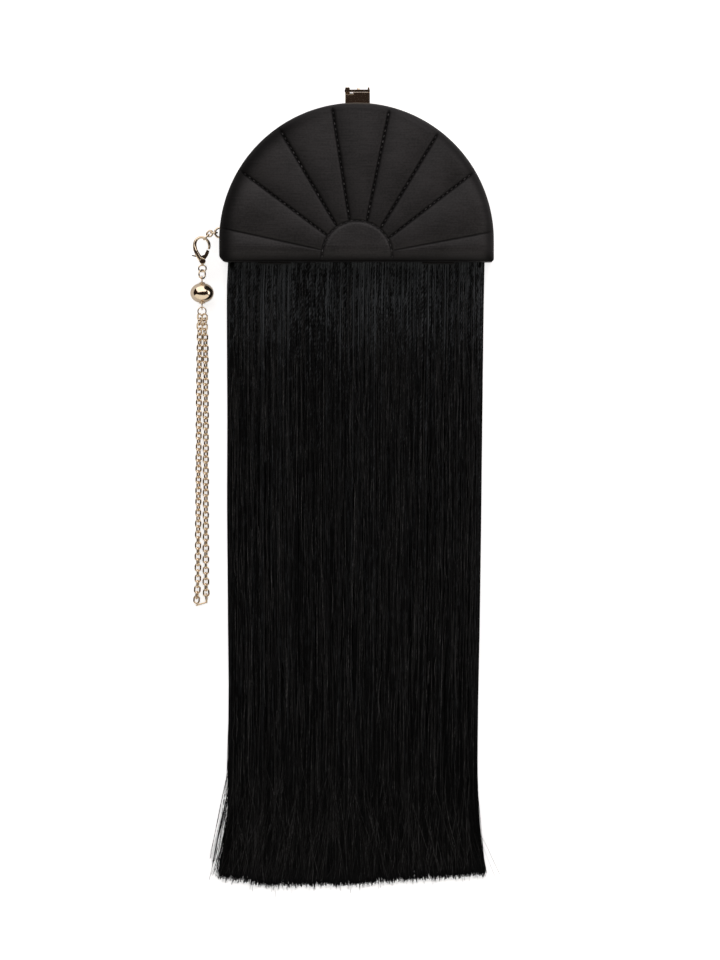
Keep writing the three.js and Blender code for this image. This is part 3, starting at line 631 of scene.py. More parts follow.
def soften(piece: Object, width: float, segments: int = 3, degrees: float = 30) -> Object:
    """Rounds the edges of a piece that are sharper than an angle."""
    change = piece.modifiers.new("soften", "BEVEL")
    change.width = width
    change.segments = segments
    change.limit_method = "ANGLE"
    change.angle_limit = math.radians(degrees)
    only(piece)
    bpy.ops.object.modifier_apply(modifier=change.name)
    smooth(piece)
    level(piece)
    return piece


def level(piece: Object) -> None:
    """Keeps the large faces of a piece flat in its smooth shading."""
    change = piece.modifiers.new("level", "WEIGHTED_NORMAL")
    change.keep_sharp = True
    only(piece)
    bpy.ops.object.modifier_apply(modifier=change.name)


def smooth(piece: Object, degrees: float = 38) -> None:
    """Shades a piece smooth, apart from edges sharper than an angle."""
    only(piece)
    bpy.ops.object.shade_smooth_by_angle(angle=math.radians(degrees))


def joined(name: str, pieces: Sequence[Object]) -> Object:
    """Makes one object of several pieces."""
    deselect()
    for piece in pieces:
        piece.select_set(True)
    bpy.context.view_layer.objects.active = pieces[0]
    bpy.ops.object.join()
    pieces[0].name = name
    pieces[0].data.name = name
    return pieces[0]


def array_piece(name: str, points: np.ndarray, *faces: np.ndarray) -> Object:
    """Makes a smooth mesh piece from arrays.

    Args:
        name: The piece's name.
        points: Its points, one a row.
        faces: Arrays of faces, one face a row, each array with its own number of corners.

    Returns:
        The piece.
    """
    mesh = bpy.data.meshes.new(name)
    corners = np.concatenate([group.ravel() for group in faces])
    sizes = np.concatenate([np.full(len(group), group.shape[1]) for group in faces])
    starts = np.concatenate([[0], np.cumsum(sizes)[:-1]])
    mesh.vertices.add(len(points))
    mesh.vertices.foreach_set("co", points.astype(np.float32).ravel())
    mesh.loops.add(len(corners))
    mesh.loops.foreach_set("vertex_index", corners.astype(np.int32))
    mesh.polygons.add(len(sizes))
    mesh.polygons.foreach_set("loop_start", starts.astype(np.int32))
    mesh.polygons.foreach_set("use_smooth", np.ones(len(sizes), dtype=bool))
    mesh.update(calc_edges=True)
    mesh.validate()
    piece = bpy.data.objects.new(name, mesh)
    bpy.context.scene.collection.objects.link(piece)
    return piece


def number_at_points(piece: Object, name: str, values: np.ndarray) -> None:
    """Stores one number at each point of a mesh, for its material."""
    attribute = piece.data.attributes.new(name, "FLOAT", "POINT")
    attribute.data.foreach_set("value", values.astype(np.float32).ravel())


def copies(name: str, pattern: Object, places: Sequence[Matrix]) -> Object:
    """Joined mesh of a pattern's copies, one at each place; the pattern is removed."""
    points = np.array([point.co for point in pattern.data.vertices])
    faces = np.array([list(face.vertices) for face in pattern.data.polygons])
    turned = [points @ np.array(place)[:3, :3].T + np.array(place)[:3, 3] for place in places]
    numbers = [faces + index * len(points) for index in range(len(places))]
    bpy.data.objects.remove(pattern)
    return array_piece(name, np.concatenate(turned), np.concatenate(numbers))


def lay_cloth(piece: Object) -> None:
    """Gives a piece UVs in metres: X and Y on its flat faces, and the way round and Z on its walls."""
    mesh = piece.data
    layer = mesh.uv_layers.get("UVMap") or mesh.uv_layers.new(name="UVMap")
    corners = np.zeros(len(mesh.loops), dtype=np.int32)
    mesh.loops.foreach_get("vertex_index", corners)
    points = np.array([point.co for point in mesh.vertices])[corners]
    normals = np.repeat(
        np.array([face.normal for face in mesh.polygons]),
        [face.loop_total for face in mesh.polygons],
        axis=0,
    )
    radius = np.hypot(points[:, 0], points[:, 1]).max()
    angle = np.arctan2(points[:, 0], np.abs(points[:, 1]) + 1e-6)
    around = np.where(points[:, 1] < 0, points[:, 0], radius * angle)
    wall = np.abs(normals[:, 2]) < 0.6
    flat = points[:, :2]
    upright = np.stack([around, points[:, 2]], axis=1)
    layer.data.foreach_set("uv", np.where(wall[:, None], upright, flat).astype(np.float32).ravel())


def fit(piece: Object, body: Body, finish: Material, slot: Slot, *nodes: str) -> Object:
    """Dresses a finished piece and hangs it on its body.

    Args:
        piece: The finished piece.
        body: The body that it rides on.
        finish: Its material.
        slot: The record's slot of that material; not used.
        nodes: CAD nodes that it stands for.

    Returns:
        The same piece.
    """
    piece.data.materials.clear()
    piece.data.materials.append(finish)
    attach(piece, body.value)
    if nodes:
        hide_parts(*nodes)
    triangles = sum(len(face.vertices) - 2 for face in piece.data.polygons)
    log.info("%s: %d triangles on %s", piece.name, triangles, body.value)
    return piece


@dataclass
class Part:
    """One part of the bag, dressed in the bag's finishes."""

    finishes: Finishes

    def gild(self, piece: Object, node: str, body: Body = Body.BACK) -> None:
        """Plates a finished piece with gold, in place of one CAD node."""
        fit(piece, body, self.finishes.gold, Slot.GOLD, node)


# Head


@dataclass
class Head(Part):
    """Half-moon box: two hollow halves covered in satin."""

    radius: float = 100 * MM
    drop: float = 15.75 * MM
    wall: float = 2 * MM
    seam: float = 20 * MM
    gap: float = 0.3 * MM
    front: float = 34 * MM
    edge: float = 2.4 * MM
    front_edge: float = 5 * MM
    left_corner: float = 5 * MM
    right_corner: float = 1.6 * MM
    hinge_x: float = 60 * MM
    hinge_half: float = 12.3 * MM
    hinge_notch: float = 1.8 * MM
    arc_steps: int = 288

    def half(self, name: str, face: float, rim: float, edge: float) -> Object:
        """Models one half, open at its rim.

        Args:
            name: The piece's name.
            face: Height of its closed face.
            rim: Height of its open rim.
            edge: Rounding round its closed face.

        Returns:
            The half, with its edges rounded and its cloth laid.
        """
        deselect()
        bpy.ops.mesh.primitive_circle_add(vertices=self.arc_steps, radius=self.radius, fill_type="NGON")
        piece = named(name)
        near = 1e-5
        with Shaping(piece) as shaping:
            bpy.ops.mesh.select_all(action="SELECT")
            bpy.ops.mesh.bisect(plane_co=(0, 0, 0), plane_no=(0, 1, 0), clear_inner=True)
            shaping.pick(Element.EDGE, lambda point: abs(point.y) < near)
            shaping.extrude((0, -self.drop, 0))
            shaping.pick(Element.EDGE, lambda point: abs(point.y) < near and abs(point.x) < near)
            bpy.ops.mesh.dissolve_edges()
            bpy.ops.mesh.select_all(action="SELECT")
            bpy.ops.transform.translate(value=(0, 0, face))
            shaping.extrude((0, 0, rim - face))
            shaping.face_outwards()
            shaping.pick(Element.FACE, lambda point: abs(point.z - rim) < near)
            bpy.ops.mesh.inset(thickness=self.wall)
            shaping.extrude((0, 0, face - rim + math.copysign(self.wall, rim - face)))
            for side, size in ((-1, self.left_corner), (1, self.right_corner)):
                corner = Vector((side * self.radius, -self.drop, (face + rim) / 2))
                shaping.pick(Element.EDGE, lambda point, corner=corner: (point - corner).length < near)
                bpy.ops.mesh.bevel(offset=size, segments=6, affect="EDGES")
            shaping.pick(Element.EDGE, lambda point: abs(point.z - face) < near)
            bpy.ops.mesh.bevel(offset=edge, segments=5, affect="EDGES")
        for x in (-self.hinge_x, self.hinge_x):
            low = (x - self.hinge_half, -self.drop - self.wall, self.seam - self.hinge_notch)
            high = (x + self.hinge_half, -self.drop + self.wall + self.gap, self.seam + self.hinge_notch)
            combine(piece, block("notch", low, high), "DIFFERENCE")
        smooth(piece, 50)
        lay_cloth(piece)
        return piece

    def build(self) -> None:
        """Builds both halves."""
        back = self.half("box_back", 0, self.seam - self.gap / 2, self.edge)
        fit(back, Body.BACK, self.finishes.satin, Slot.SATIN, "back_shell")
        front = self.half("box_front", self.front, self.seam + self.gap / 2, self.front_edge)
        fit(front, Body.FRONT, self.finishes.satin, Slot.SATIN, "front_shell")


# Quilted panel


@dataclass
class QuiltedPanel(Part):
    """Padded satin front, sewn down in nine wedges round a half disc."""

    radius: float = 100.5 * MM
    bottom: float = -15.6 * MM
    left_corner: float = 5.2 * MM
    right_corner: float = 1.8 * MM
    back: float = 34.05 * MM
    edge: float = -4.0 * MM
    edge_thick: float = 0.25 * MM
    shoulder: float = 2.7 * MM
    border: Pair = (4.5 * MM, 12.5 * MM)
    bend_power: float = 2.3
    dome: float = 4.0 * MM
    flank_slope: float = 0.26
    sun_x: float = 0.4 * MM
    sun_rise: float = 4.0 * MM
    sun_radius: float = 25.6 * MM
    sun_crown: float = 0.9 * MM
    groove: float = 1.6 * MM
    groove_width: float = 1.2 * MM
    # Painted shade: how wide it is in the seams, how dark over the wedges near the half disc and how far out
    # that reaches, and how dark in the sewn lines and in the half disc's seam
    seam_shade_width: float = 1.0 * MM
    inner_painted_shade: float = 0.1
    inner_painted_shade_reach: float = 72 * MM
    seam_painted_shade: float = 0.62
    sun_seam_painted_shade: float = 0.3
    # Painted shade in a wedge's flank beside a seam: how dark and how wide, evenly on both sides
    # at the right, and mostly on one side from the middle to the left
    flank_shade: Pair = (0.26, 4.5 * MM)
    flank_lean: Pair = (0.16, 3 * MM)
    # Painted shade inside the outline at the left, right, top and bottom, where the cloth turns down: how dark,
    # where it is deepest, how wide
    painted_edge_shade_left: Triple = (0.75, 3.5 * MM, 6 * MM)
    painted_edge_shade_right: Triple = (0.6, 3 * MM, 3.4 * MM)
    painted_edge_shade_top: Triple = (0.35, 2 * MM, 3.2 * MM)
    painted_edge_shade_low: Triple = (0.5, 0, 5.5 * MM)
    gather: float = 0.15 * MM
    columns: int = 50
    rows: int = 112
    sun_rows: int = 30
    stitch: float = 4.0 * MM
    stitch_length: float = 1.8 * MM
    thread: float = 0.8 * MM
    thread_rise: float = 0.7 * MM
    seed: int = 5
    # Outer and inner end of each sewn line, in degrees about the half disc's middle, and its depth
    sewn: Triples = (
        (10, 8, 0.45),
        (35.5, 29, 0.9),
        (56.5, 49, 1),
        (77.5, 74, 1),
        (99.5, 102, 1),
        (121.5, 124.5, 1),
        (144, 146, 0.9),
        (168.5, 171, 0.45),
    )
    # How the cloth turns in under its edge: way in from the outline and height over the back, in millimetres
    turn_in: Pairs = ((0.15, -4.3), (0.6, -3.0), (1.9, -1.2), (5.2, 0))

    def foot(self) -> np.ndarray:
        """Foot of the half disc, where the panel's rays start."""
        return np.array([self.sun_x, self.bottom])

    def middle(self) -> np.ndarray:
        """Middle of the half disc."""
        return np.array([self.sun_x, self.bottom + self.sun_rise])

    def foot_angle(self, degrees: float, distance: float) -> float:
        """Angle seen from the foot of a point given from the half disc's middle."""
        angle = math.radians(degrees)
        return math.atan2(self.sun_rise + distance * math.sin(angle), distance * math.cos(angle))

    def sun_reach(self, angle: np.ndarray) -> np.ndarray:
        """Distance from the foot to the half disc's edge."""
        across = self.sun_rise * np.cos(angle)
        return self.sun_rise * np.sin(angle) + np.sqrt(self.sun_radius**2 - across**2)

    def rim_reach(self, angle: np.ndarray) -> np.ndarray:
        """Distance from the foot to the panel's outline."""
        along = np.stack([np.cos(angle), np.sin(angle)], axis=-1)
        foot = self.foot()
        middle = along @ foot
        arc = -middle + np.sqrt(middle**2 - foot @ foot + self.radius**2)
        across = np.maximum(np.abs(along[..., 0]), 1e-9)
        off = np.sign(along[..., 0]) * self.sun_x
        reach = np.where(foot[1] + arc * along[..., 1] > 0, arc, (self.radius - off) / across)
        corner = np.where(along[..., 0] < 0, self.left_corner, self.right_corner)
        for _ in range(8):
            low = np.clip(corner - reach * along[..., 1], 0, corner)
            widest = self.radius - corner + np.sqrt(corner**2 - low**2)
            reach = np.minimum(reach, (widest - off) / across)
        return reach

    def ends(self, outer: np.ndarray, inner: np.ndarray) -> tuple[np.ndarray, np.ndarray]:
        """Inner and outer end of rays, from their angles at the foot."""
        inner_way = np.stack([np.cos(inner), np.sin(inner)], axis=-1)
        outer_way = np.stack([np.cos(outer), np.sin(outer)], axis=-1)
        return (
            self.foot() + self.sun_reach(inner)[..., None] * inner_way,
            self.foot() + self.rim_reach(outer)[..., None] * outer_way,
        )

    def seam_angles(self) -> tuple[list[float], list[float]]:
        """Outer and inner angles of the wedges' sides at the foot, from the right to the left."""
        outer = [0.0, *(self.foot_angle(line[0], self.radius) for line in self.sewn), math.pi]
        inner = [0.0, *(self.foot_angle(line[1], self.sun_radius) for line in self.sewn), math.pi]
        return outer, inner

    def seams(self) -> tuple[np.ndarray, np.ndarray]:
        """Inner and outer ends of the sewn lines, with the panel's bottom edge before and after them."""
        outer, inner = self.seam_angles()
        return self.ends(np.array(outer), np.array(inner))

    def grid(self) -> tuple[np.ndarray, np.ndarray]:
        """Lays out the panel's points.

        Returns:
            The points in rows from the foot to the outline and columns from right to left, closer
            together beside the sewn lines, and the height of each wedge's crown there.
        """
        outer, inner = self.seam_angles()
        steps = np.arange(self.columns + 1) / self.columns
        steps = steps - 0.78 * np.sin(2 * np.pi * steps) / (2 * np.pi)
        wedges = len(outer) - 1
        shares = np.concatenate([index + steps[0 if index == 0 else 1 :] for index in range(wedges)])
        order = np.arange(wedges + 1)
        inner_end, outer_end = self.ends(np.interp(shares, order, outer), np.interp(shares, order, inner))
        sun = np.linspace(0, 1, self.sun_rows + 1)[1:]
        sun = (sun + 0.35 * np.sin(np.pi * sun) / np.pi)[:, None, None]
        ray = np.linspace(0, 1, self.rows)[1:]
        ray = (ray - 0.5 * np.sin(2 * np.pi * ray) / (2 * np.pi))[:, None, None]
        points = np.concatenate([
            self.foot() + sun * (inner_end - self.foot()),
            inner_end + ray * (outer_end - inner_end),
        ])
        wedge = np.minimum(shares.astype(int), wedges - 1)
        across = 2 * (shares - wedge) - 1
        seam_inner, seam_outer = self.seams()
        line = seam_inner + ray * (seam_outer - seam_inner)
        width = np.linalg.norm(np.diff(line, axis=1), axis=-1)[:, wedge]
        length = np.linalg.norm(outer_end - inner_end, axis=-1) * ray[..., 0]
        crown = self.flank_slope * width / 4 * (1 - across**2) * (1 - np.exp(-length / (5 * MM)))
        reach = np.linalg.norm(points[: self.sun_rows] - self.middle(), axis=-1) / self.sun_radius
        sun_crown = self.sun_crown * (1 - unit(reach) ** 2)
        return points, np.concatenate([sun_crown, crown])

    def seam_distance(self, points: np.ndarray) -> tuple[np.ndarray, np.ndarray, np.ndarray, np.ndarray]:
        """Finds the sewn line nearest to each point.

        Args:
            points: Points of the panel.

        Returns:
            The distance to it, the place along it, its depth, and the distance to the half disc's seam.
        """
        from_middle = points - self.middle()
        to_sun = np.abs(np.linalg.norm(from_middle, axis=-1) - self.sun_radius)
        nearest = to_sun.copy()
        along = self.sun_radius * np.arctan2(from_middle[..., 1], from_middle[..., 0])
        depth = np.ones_like(nearest)
        inner_ends, outer_ends = self.seams()
        for index, (inner, outer) in enumerate(zip(inner_ends[1:-1], outer_ends[1:-1])):
            line = outer - inner
            length = np.linalg.norm(line)
            share = unit((points - inner) @ line / length**2)
            distance = np.linalg.norm(points - inner - share[..., None] * line, axis=-1)
            along = np.where(distance < nearest, share * length + 0.7 * (index + 1), along)
            depth = np.where(distance < nearest, self.sewn[index][2], depth)
            nearest = np.minimum(nearest, distance)
        return nearest, along, depth, to_sun

    def rim_distance(self, points: np.ndarray) -> np.ndarray:
        """Distance to the panel's outline, softened in the corners."""
        x, y = points[..., 0], points[..., 1]
        side = np.maximum(self.radius - np.hypot(x, np.maximum(y, 0)), 1e-7)
        low = np.maximum(y - self.bottom, 1e-7)
        nearest = np.minimum(side, low)
        softened = (side**-3 + low**-3) ** (-1 / 3) / nearest
        corner = np.where(x < 0, self.left_corner, self.right_corner)
        from_corner = np.hypot(corner - side, corner - low)
        cornered = (side < corner) & (low < corner)
        return np.where(cornered, np.maximum(corner - from_corner, 1e-7), nearest) * softened

    def pucker(self, along: np.ndarray, distance: np.ndarray, to_sun: np.ndarray) -> np.ndarray:
        """Small gathers beside a sewn line, strongest near the half disc."""
        fine = np.sin(2 * np.pi * along / (0.52 * self.stitch) + 2.4 * np.sin(along * 61))
        held = np.cos(2 * np.pi * along / self.stitch)
        slow = 0.75 + 0.45 * np.sin(along * 210 + 1.7 * np.sin(along * 83))
        strength = self.gather * slow * (0.45 + 0.75 * np.exp(-to_sun / (14 * MM)))
        fade = np.exp(-((distance / (2.3 * MM)) ** 1.4)) * (1 - np.exp(-distance / (0.5 * MM)))
        return strength * (0.75 * fine + 0.45 * held) * fade

    def height(self, points: np.ndarray, crown: np.ndarray | float = 0.0) -> np.ndarray:
        """Height of the cloth over the panel's back.

        Args:
            points: Points of the panel.
            crown: Height of the wedge's crown there.

        Returns:
            The heights.
        """
        distance, along, depth, to_sun = self.seam_distance(points)
        rim = self.rim_distance(points)
        out = np.hypot(points[..., 0], np.maximum(points[..., 1], 0)) / self.radius
        sideways = points[..., 0] ** 2 / np.maximum((self.radius * out) ** 2, 1e-6)
        low = unit(1 - (points[..., 1] - self.bottom) / (40 * MM))
        near, far = self.border
        border = near + (far - near) * np.maximum(sideways, ease(low))
        bend = np.sqrt(1 - (1 - unit(rim / border)) ** self.bend_power)
        dome = self.dome * (1 - out**2.4)
        held = unit(rim / (5 * MM)) ** 0.7
        width = self.groove_width * (0.4 + 0.6 * depth)
        groove = self.groove * depth * np.exp(-((distance / width) ** 1.7)) * held
        slow = 0.1 * MM * np.sin(points[..., 0] * 120 + 1.1) * np.sin(points[..., 1] * 105 + 0.4)
        body = (self.shoulder + dome + crown + slow - self.edge) * bend
        return self.edge + body - groove + self.pucker(along, distance, to_sun) * held * depth

    def flank_light(self, points: np.ndarray, share: np.ndarray) -> np.ndarray:
        """How much light the painted shade beside the seams leaves on the wedges' flanks.

        Args:
            points: Points of the panel.
            share: How far the shade counts at each point, from 0 to 1.

        Returns:
            One number for each point, 1 away from the seams.
        """
        kept = np.ones(len(points))
        inner_ends, outer_ends = self.seams()
        for (angle, _, depth), inner, outer in zip(self.sewn, inner_ends[1:-1], outer_ends[1:-1]):
            line = outer - inner
            away = points - inner
            along = unit(away @ line / (line @ line))
            distance = np.linalg.norm(away - along[:, None] * line, axis=1)
            lean = unit((angle - 60) / 40) * np.sign(line[1] * away[:, 0] - line[0] * away[:, 1])
            dark = self.flank_shade[0] + self.flank_lean[0] * lean
            width = self.flank_shade[1] + self.flank_lean[1] * lean
            kept *= 1 - dark * np.exp(-distance / width) * depth * share
        return kept

    def painted_shade_at(self, points: np.ndarray) -> np.ndarray:
        """Painted shade on the cloth, from 0 to 1: it darkens the colour and dulls the gloss in place of shade.

        Args:
            points: Points of the panel.

        Returns:
            One number for each point: high in the seams and beside them, over the wedges near the half disc,
                along the bottom edge and where the edge turns down.
        """
        distance, _, depth, to_sun = self.seam_distance(points)
        rim = self.rim_distance(points)
        held = unit((rim - 1.5 * MM) / (3 * MM))
        dark = np.where(distance < to_sun, self.seam_painted_shade, self.sun_seam_painted_shade)
        seam = dark * np.exp(-((distance / (self.seam_shade_width * (0.35 + 0.65 * depth))) ** 2))
        outwards = np.linalg.norm(points - self.middle(), axis=1) - self.sun_radius
        gathers = self.inner_painted_shade * unit(1 - outwards / self.inner_painted_shade_reach) * (outwards > 0)
        kept = (1 - seam * (0.5 + 0.5 * depth) * held) * (1 - gathers)
        kept *= self.flank_light(points, unit(outwards / (3 * MM)) * held)
        angle = np.degrees(np.arctan2(np.maximum(points[:, 1], 0), points[:, 0]))
        low = points[:, 1] - self.bottom
        # Painted shade along the bottom edge: a dark line where the edge turns under
        kept *= 1 - np.exp(-((low / (1.1 * MM)) ** 2)) * 0.9
        outline = self.radius - np.hypot(points[:, 0], np.maximum(points[:, 1], 0))
        for (dark, middle, width), away, side in (
            (self.painted_edge_shade_left, outline, (angle - 95) / 35),
            (self.painted_edge_shade_right, outline, (75 - angle) / 35),
            (self.painted_edge_shade_top, outline, (45 - np.abs(angle - 90)) / 30),
            (self.painted_edge_shade_low, low, np.ones_like(low)),
        ):
            share = unit(side)
            kept *= 1 - dark * np.exp(-(((away - middle) / width) ** 2)) * ease(share)
        return 1 - kept

    def cloth(self) -> Object:
        """Padded cloth over a flat back, closed all round."""
        flat, crown = self.grid()
        rows, columns = flat.shape[:2]
        surface = self.height(flat, crown)
        top = np.concatenate([flat, surface[..., None] + self.back], axis=-1).reshape(-1, 3)
        foot = np.array([[*self.foot(), self.back + self.edge]])
        numbers = np.arange(rows * columns).reshape(rows, columns)
        quads = np.stack(
            [numbers[:-1, :-1], numbers[1:, :-1], numbers[1:, 1:], numbers[:-1, 1:]], axis=-1
        ).reshape(-1, 4)
        fan = np.stack([np.full(columns - 1, len(top)), numbers[0, :-1], numbers[0, 1:]], axis=-1)
        rim = np.concatenate([[len(top)], numbers[:, 0], numbers[-1, 1:-1], numbers[::-1, -1]])
        points = np.concatenate([top, foot])
        outline = points[rim]
        inward = np.array([0, 30 * MM]) - outline[:, :2]
        inward /= np.linalg.norm(inward, axis=1, keepdims=True)
        count = len(rim)
        after = np.roll(np.arange(count), -1)
        under = outline - [0, 0, self.edge_thick]
        rings = [points, under]
        edges = [rim, len(points) + np.arange(count)]
        for inset, rise in self.turn_in:
            turned = under.copy()
            turned[:, :2] += inward * inset * MM
            turned[:, 1] = np.maximum(turned[:, 1], self.bottom + inset * MM)
            turned[:, 2] = self.back + rise * MM
            rings.append(turned)
            edges.append(edges[-1] + count)
        walls = [
            np.stack([outer, inner, inner[after], outer[after]], axis=-1)
            for outer, inner in zip(edges, edges[1:])
        ]
        rings = np.concatenate(rings)
        quads = np.concatenate([quads, *walls])
        piece = array_piece("quilted_front", rings, quads, fan, edges[-1][None, ::-1])
        # Painted shade held at each point for the satin's material; none on the cloth turned in under the edge
        painted_shade = self.painted_shade_at(rings[:, :2])
        painted_shade[len(points) :] = 0
        number_at_points(piece, "painted_shade", painted_shade)
        with Shaping(piece) as shaping:
            shaping.face_outwards()
        smooth(piece, 70)
        lay_cloth(piece)
        return piece

    def stitch_places(self) -> list[Matrix]:
        """Turn and place of each stitch, along the six deep sewn lines and round the half disc."""
        lines = []
        inner_ends, outer_ends = self.seams()
        for inner, outer in zip(inner_ends[2:-2], outer_ends[2:-2]):
            way = (outer - inner) / np.linalg.norm(outer - inner)
            lines.append(np.linspace(inner + 1.5 * MM * way, outer - 4.2 * MM * way, 60))
        start = math.asin((1.5 * MM - self.sun_rise) / self.sun_radius)
        angles = np.linspace(start, math.pi - start, 160)
        lines.append(self.middle() + self.sun_radius * np.stack([np.cos(angles), np.sin(angles)], axis=-1))
        places = []
        for line in lines:
            lengths = np.concatenate([[0], np.cumsum(np.linalg.norm(np.diff(line, axis=0), axis=1))])
            count = round(lengths[-1] / self.stitch)
            for index in range(count):
                at = (index + 0.5) / count * lengths[-1] + np.array([-0.4, 0.4]) * MM
                ends = np.stack([np.interp(at, lengths, line[:, axis]) for axis in (0, 1)], axis=-1)
                middle = ends.mean(axis=0)
                way = ends[1] - ends[0]
                height = self.back + float(self.height(middle)) + self.thread_rise
                turn = Matrix.Rotation(math.atan2(way[1], way[0]), 4, "Z")
                places.append(Matrix.Translation((*middle, height)) @ turn)
        return places

    def stitches(self) -> Object:
        """Every stitch of the quilting as one piece."""
        deselect()
        bpy.ops.mesh.primitive_uv_sphere_add(segments=8, ring_count=6, radius=1, rotation=(0, math.pi / 2, 0))
        pattern = named("stitch")
        with Shaping(pattern) as shaping:
            shaping.pick(Element.POINT, lambda point: True)
            shaping.carry(Matrix.Diagonal((self.stitch_length / 2, self.thread / 2, self.thread / 2, 1)))
            bpy.ops.mesh.quads_convert_to_tris()
        return copies("quilting_stitches", pattern, self.stitch_places())

    def build(self) -> None:
        """Builds the padded cloth and its stitches."""
        cloth = fit(self.cloth(), Body.FRONT, self.finishes.quilted, Slot.QUILTED, "quilted_panel")
        stitches = self.stitches()
        count = len(self.stitch_places())
        each = np.random.default_rng(self.seed).uniform(0, 1, count)
        number_at_points(stitches, "tint", np.repeat(each, len(stitches.data.vertices) // count))
        number_at_points(stitches, "twist", np.ones(len(stitches.data.vertices)))
        lay_cloth(stitches)
        fit(stitches, Body.FRONT, self.finishes.thread, Slot.QUILTED)


# Fringe


@dataclass
class Strands:
    """Many strands of the same number of steps: their middle lines and how each is drawn."""

    lines: np.ndarray
    radii: np.ndarray
    tint: np.ndarray
    twist: np.ndarray

    def mesh(self, name: str, sides: int) -> Object:
        """Makes one joined mesh of closed tubes.

        Args:
            name: The piece's name.
            sides: Sides of each tube.

        Returns:
            The piece, with UVs round and along each strand.
        """
        count, steps = self.lines.shape[:2]
        ways = np.gradient(self.lines, axis=1)
        ways /= np.linalg.norm(ways, axis=-1, keepdims=True)
        across = np.cross(ways, np.array([0.0, 0.0, 1.0]))
        across /= np.linalg.norm(across, axis=-1, keepdims=True)
        up = np.cross(across, ways)
        angles = 2 * np.pi * np.arange(sides) / sides
        rings = across[:, :, None] * np.cos(angles)[:, None] + up[:, :, None] * np.sin(angles)[:, None]
        tubes = self.lines[:, :, None] + rings * self.radii[:, :, None, None]
        numbers = np.arange(count * steps * sides).reshape(count, steps, sides)
        after = np.roll(numbers, -1, axis=2)
        quads = np.stack([after[:, :-1], after[:, 1:], numbers[:, 1:], numbers[:, :-1]], axis=-1)
        starts = numbers[:, 0]
        stops = numbers[:, -1, ::-1]
        piece = array_piece(name, tubes.reshape(-1, 3), quads.reshape(-1, 4), starts, stops)
        lengths = np.linalg.norm(np.diff(self.lines, axis=1), axis=-1).cumsum(axis=1)
        lengths = np.concatenate([np.zeros((count, 1)), lengths], axis=1)
        around = np.arange(sides) / sides
        corners = np.zeros((count, steps - 1, sides, 4, 2))
        corners[..., 0] = np.stack([around + 1 / sides, around + 1 / sides, around, around], axis=-1)
        near, far = lengths[:, :-1], lengths[:, 1:]
        corners[..., 1] = np.stack([near, far, far, near], axis=-1)[:, :, None]
        caps = np.zeros((2, count, sides, 2))
        caps[0, ..., 0], caps[1, ..., 0] = around, around[::-1]
        caps[1, ..., 1] = lengths[:, -1:]
        layer = piece.data.uv_layers.new(name="UVMap")
        flat = np.concatenate([corners.reshape(-1, 2), caps.reshape(-1, 2)])
        layer.data.foreach_set("uv", flat.astype(np.float32).ravel())
        number_at_points(piece, "tint", np.repeat(self.tint, steps * sides))
        number_at_points(piece, "twist", np.repeat(self.twist, sides))
        return piece


